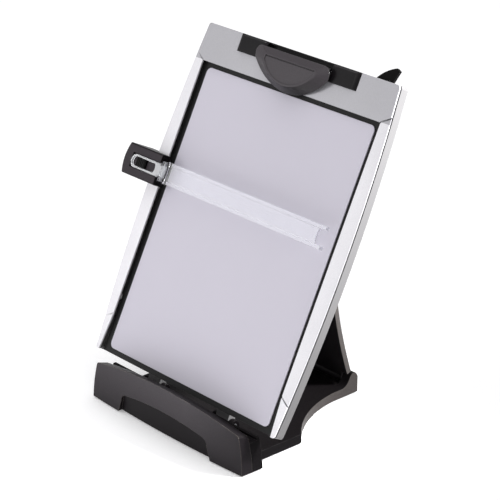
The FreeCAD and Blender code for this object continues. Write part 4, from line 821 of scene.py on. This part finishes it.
def finishPiece(work, nodeName, pieceName, material, sharpAngle):
    bmesh.ops.recalc_face_normals(work, faces=work.faces)
    mesh = bpy.data.meshes.new(pieceName)
    work.to_mesh(mesh)
    work.free()
    smoothFaces(mesh, sharpAngle)
    paintPiece(joinIn(linkNew(pieceName, mesh), nodeName), material)


def helixPoints(centre, axis, start, spring):
    other = axis.cross(start)
    count = int(spring["turns"] * pointsPerTurn)
    points = []
    for step in range(count + 1):
        turn = 2 * math.pi * spring["turns"] * step / count
        spoke = (start * math.cos(turn) + other * math.sin(turn)) * spring["radius"]
        points.append(centre + axis * (spring["length"] * step / count) + spoke)
    return points


torsionSpring = {
    "nearEnd": 0.0152, "length": 0.0094, "turns": 8.25, "radius": 0.0022, "wire": 0.00045,
    "firstBend": {"down": 0.0012, "out": 0.0002}, "firstEnd": {"down": 0.0062, "out": 0.0016},
    "lastBend": {"down": 0.0, "on": 0.0006}, "lastEnd": {"down": 0.0031, "on": 0.0008},
    "colour": (0.5, 0.5, 0.52), "roughness": 0.3,
}


def makeTorsionSprings(spring):  # one each side of the jaw's middle, with two legs each
    material = turnedMetal("clipSpringSteel", spring)
    work = bmesh.new()
    pivot = Vector(jointPlace["clip_open"])
    for side in (-1, 1):
        axis = boardAcross * side
        coil = helixPoints(pivot + axis * spring["nearEnd"], axis, boardOut, spring)
        onwards = (coil[-1] - coil[-2]).normalized()
        firstLeg = [
            coil[0] - boardUp * spring[name]["down"] + boardOut * spring[name]["out"]
            for name in ("firstEnd", "firstBend")
        ]
        lastLeg = [
            coil[-1] - boardUp * spring[name]["down"] + onwards * spring[name]["on"]
            for name in ("lastBend", "lastEnd")
        ]
        sweepWire(work, firstLeg + coil + lastLeg, spring["wire"])
    finishPiece(work, "clip_springs", "clip_springs_wound", material, springSharpAngle)


makeTorsionSprings(torsionSpring)

returnSpring = {
    "across": -0.1275, "up": 0.177, "low": 0.0038, "length": 0.0029, "radius": 0.0023,
    "wire": 0.0003, "turns": 4.5, "colour": (0.55, 0.55, 0.57), "roughness": 0.25,
}


def makeReturnSpring(spring):
    material = turnedMetal("buttonSpringSteel", spring)
    work = bmesh.new()
    centre = onBoard(spring["across"], spring["up"], spring["low"])
    sweepWire(work, helixPoints(centre, boardOut, boardAcross, spring), spring["wire"])
    finishPiece(work, "button_spring", "button_spring_wound", material, springSharpAngle)


makeReturnSpring(returnSpring)
print("springs made")

# ---- screws

screwSides = 24
screwSharpAngle = math.radians(30)
crossCorners = ((-1, -1), (1, -1), (1, 1), (-1, 1))
boxFaces = ((3, 2, 1, 0), (4, 5, 6, 7), (0, 1, 5, 4), (1, 2, 6, 5), (2, 3, 7, 6), (3, 0, 4, 7))


def latheRings(work, profile):  # turns a profile of (radius, height) about the screw's axis
    rings = []
    for radius, height in profile:
        if radius == 0:
            rings.append([work.verts.new((0, 0, height))] * screwSides)
            continue
        ring = []
        for step in range(screwSides):
            turn = 2 * math.pi * step / screwSides
            ring.append(work.verts.new((radius * math.cos(turn), radius * math.sin(turn), height)))
        rings.append(ring)
    for first, second in zip(rings, rings[1:]):
        for step in range(screwSides):
            after = (step + 1) % screwSides
            corners = []
            for corner in (first[step], first[after], second[after], second[step]):
                if corner not in corners:
                    corners.append(corner)
            work.faces.new(corners)


screwLook = {  # metres, then fractions of the shank, of the pitch and of the head
    "shank": 0.0013, "thread": 0.0002, "pitch": 0.0008, "head": 0.0026, "rise": 0.0013,
    "recess": 0.0009,
    "tip": 0.5, "firstRoot": 0.6, "crest": 0.5, "lastRoot": 0.3,
    "rim": 0.25, "squareness": 0.6, "flat": 0.18,
    "recessFoot": (0.32, 0.09), "recessTop": (0.62, 0.14), "cutterTop": 1.6,
    "headSteps": 6, "firstSpin": 12, "nextSpin": 37,
    "colour": (0.35, 0.35, 0.36), "roughness": 0.3,
}


def screwProfile(look):  # threaded shank, then a domed head with a flat middle
    shank, length, pitch = look["shank"], look["length"], look["pitch"]
    core = shank - look["thread"]
    profile = [(0, -length), (shank * look["tip"], -length)]
    for turn in range(int((length - pitch) / pitch)):
        low = -length + pitch * (turn + look["firstRoot"])
        profile += [(core, low), (shank, low + pitch * look["crest"])]
    head, rise, rim = look["head"], look["rise"], look["rim"]
    profile += [(core, -pitch * look["lastRoot"]), (shank, 0), (head, 0)]
    for part in range(look["headSteps"]):
        turn = math.radians(90 * part / look["headSteps"])
        profile.append((head * math.cos(turn) ** look["squareness"],
                        rise * (rim + (1 - rim) * math.sin(turn))))
    return profile + [(head * look["flat"], rise), (0, rise)]


def crossCutter(look):  # two crossed tapered blocks that cut the driver's recess
    foot, top = look["rise"] - look["recess"], look["rise"] * look["cutterTop"]
    work = bmesh.new()
    for turn in (0, 90):
        spin = Matrix.Rotation(math.radians(turn), 4, "Z")
        corners = []
        for height, (long, wide) in ((foot, look["recessFoot"]), (top, look["recessTop"])):
            for x, y in crossCorners:
                spot = Vector((x * long * look["head"], y * wide * look["head"], height))
                corners.append(work.verts.new(spin @ spot))
        for face in boxFaces:
            work.faces.new([corners[corner] for corner in face])
    mesh = bpy.data.meshes.new("crossCutter")
    work.to_mesh(mesh)
    work.free()
    return linkNew("crossCutter", mesh)


def carvedScrew(look):
    work = bmesh.new()
    latheRings(work, screwProfile(look))
    bmesh.ops.recalc_face_normals(work, faces=work.faces)
    mesh = bpy.data.meshes.new("plainScrew")
    work.to_mesh(mesh)
    work.free()
    plain = linkNew("plainScrew", mesh)
    cutter = crossCutter(look)
    cut = plain.modifiers.new("recess", "BOOLEAN")
    cut.operation = "DIFFERENCE"
    cut.object = cutter
    cut.solver = "EXACT"
    cut.use_self = True
    graph = bpy.context.evaluated_depsgraph_get()
    carved = bpy.data.meshes.new_from_object(plain.evaluated_get(graph))
    for helper in (plain, cutter):
        bpy.data.objects.remove(helper)
    return carved


def screwPlace(spot, away):  # the head's underside sits at spot and the head points away
    return Matrix.Translation(spot) @ away.to_track_quat("Z", "Y").to_matrix().to_4x4()


def makeScrews(nodeName, look):
    carved = carvedScrew(look)
    work = bmesh.new()
    for index, (across, up) in enumerate(look["places"]):
        angle = math.radians(look["nextSpin"] * index + look["firstSpin"])
        place = screwPlace(onBoard(across, up, look["out"]), -boardOut)
        one = carved.copy()
        one.transform(place @ Matrix.Rotation(angle, 4, "Z"))
        work.from_mesh(one)
    material = turnedMetal(nodeName + "Steel", look)
    finishPiece(work, nodeName, nodeName + "_recessed", material, screwSharpAngle)


frameScrews = screwLook | {
    "length": 0.0069, "out": -0.0084,
    "places": [(-0.1149, 0.06), (0.1149, 0.06), (-0.117, 0.162), (0.117, 0.162),
               (-0.09475, 0.303), (0.09475, 0.303)],
}
sliderScrews = screwLook | {
    "length": 0.0175, "out": -0.0139,
    "places": [(-0.1396, 0.1685), (-0.1396, 0.1855)],
}
makeScrews("frame_screws", frameScrews)
makeScrews("slider_screws", sliderScrews)
print("screws made")

baseScrews = {
    "node": "base_screws", "name": "baseScrewSteel", "colour": (0.35, 0.35, 0.36),
    "edge": 0.0002, "roughness": 0.3,
}
dressNode(baseScrews, turnedMetal)
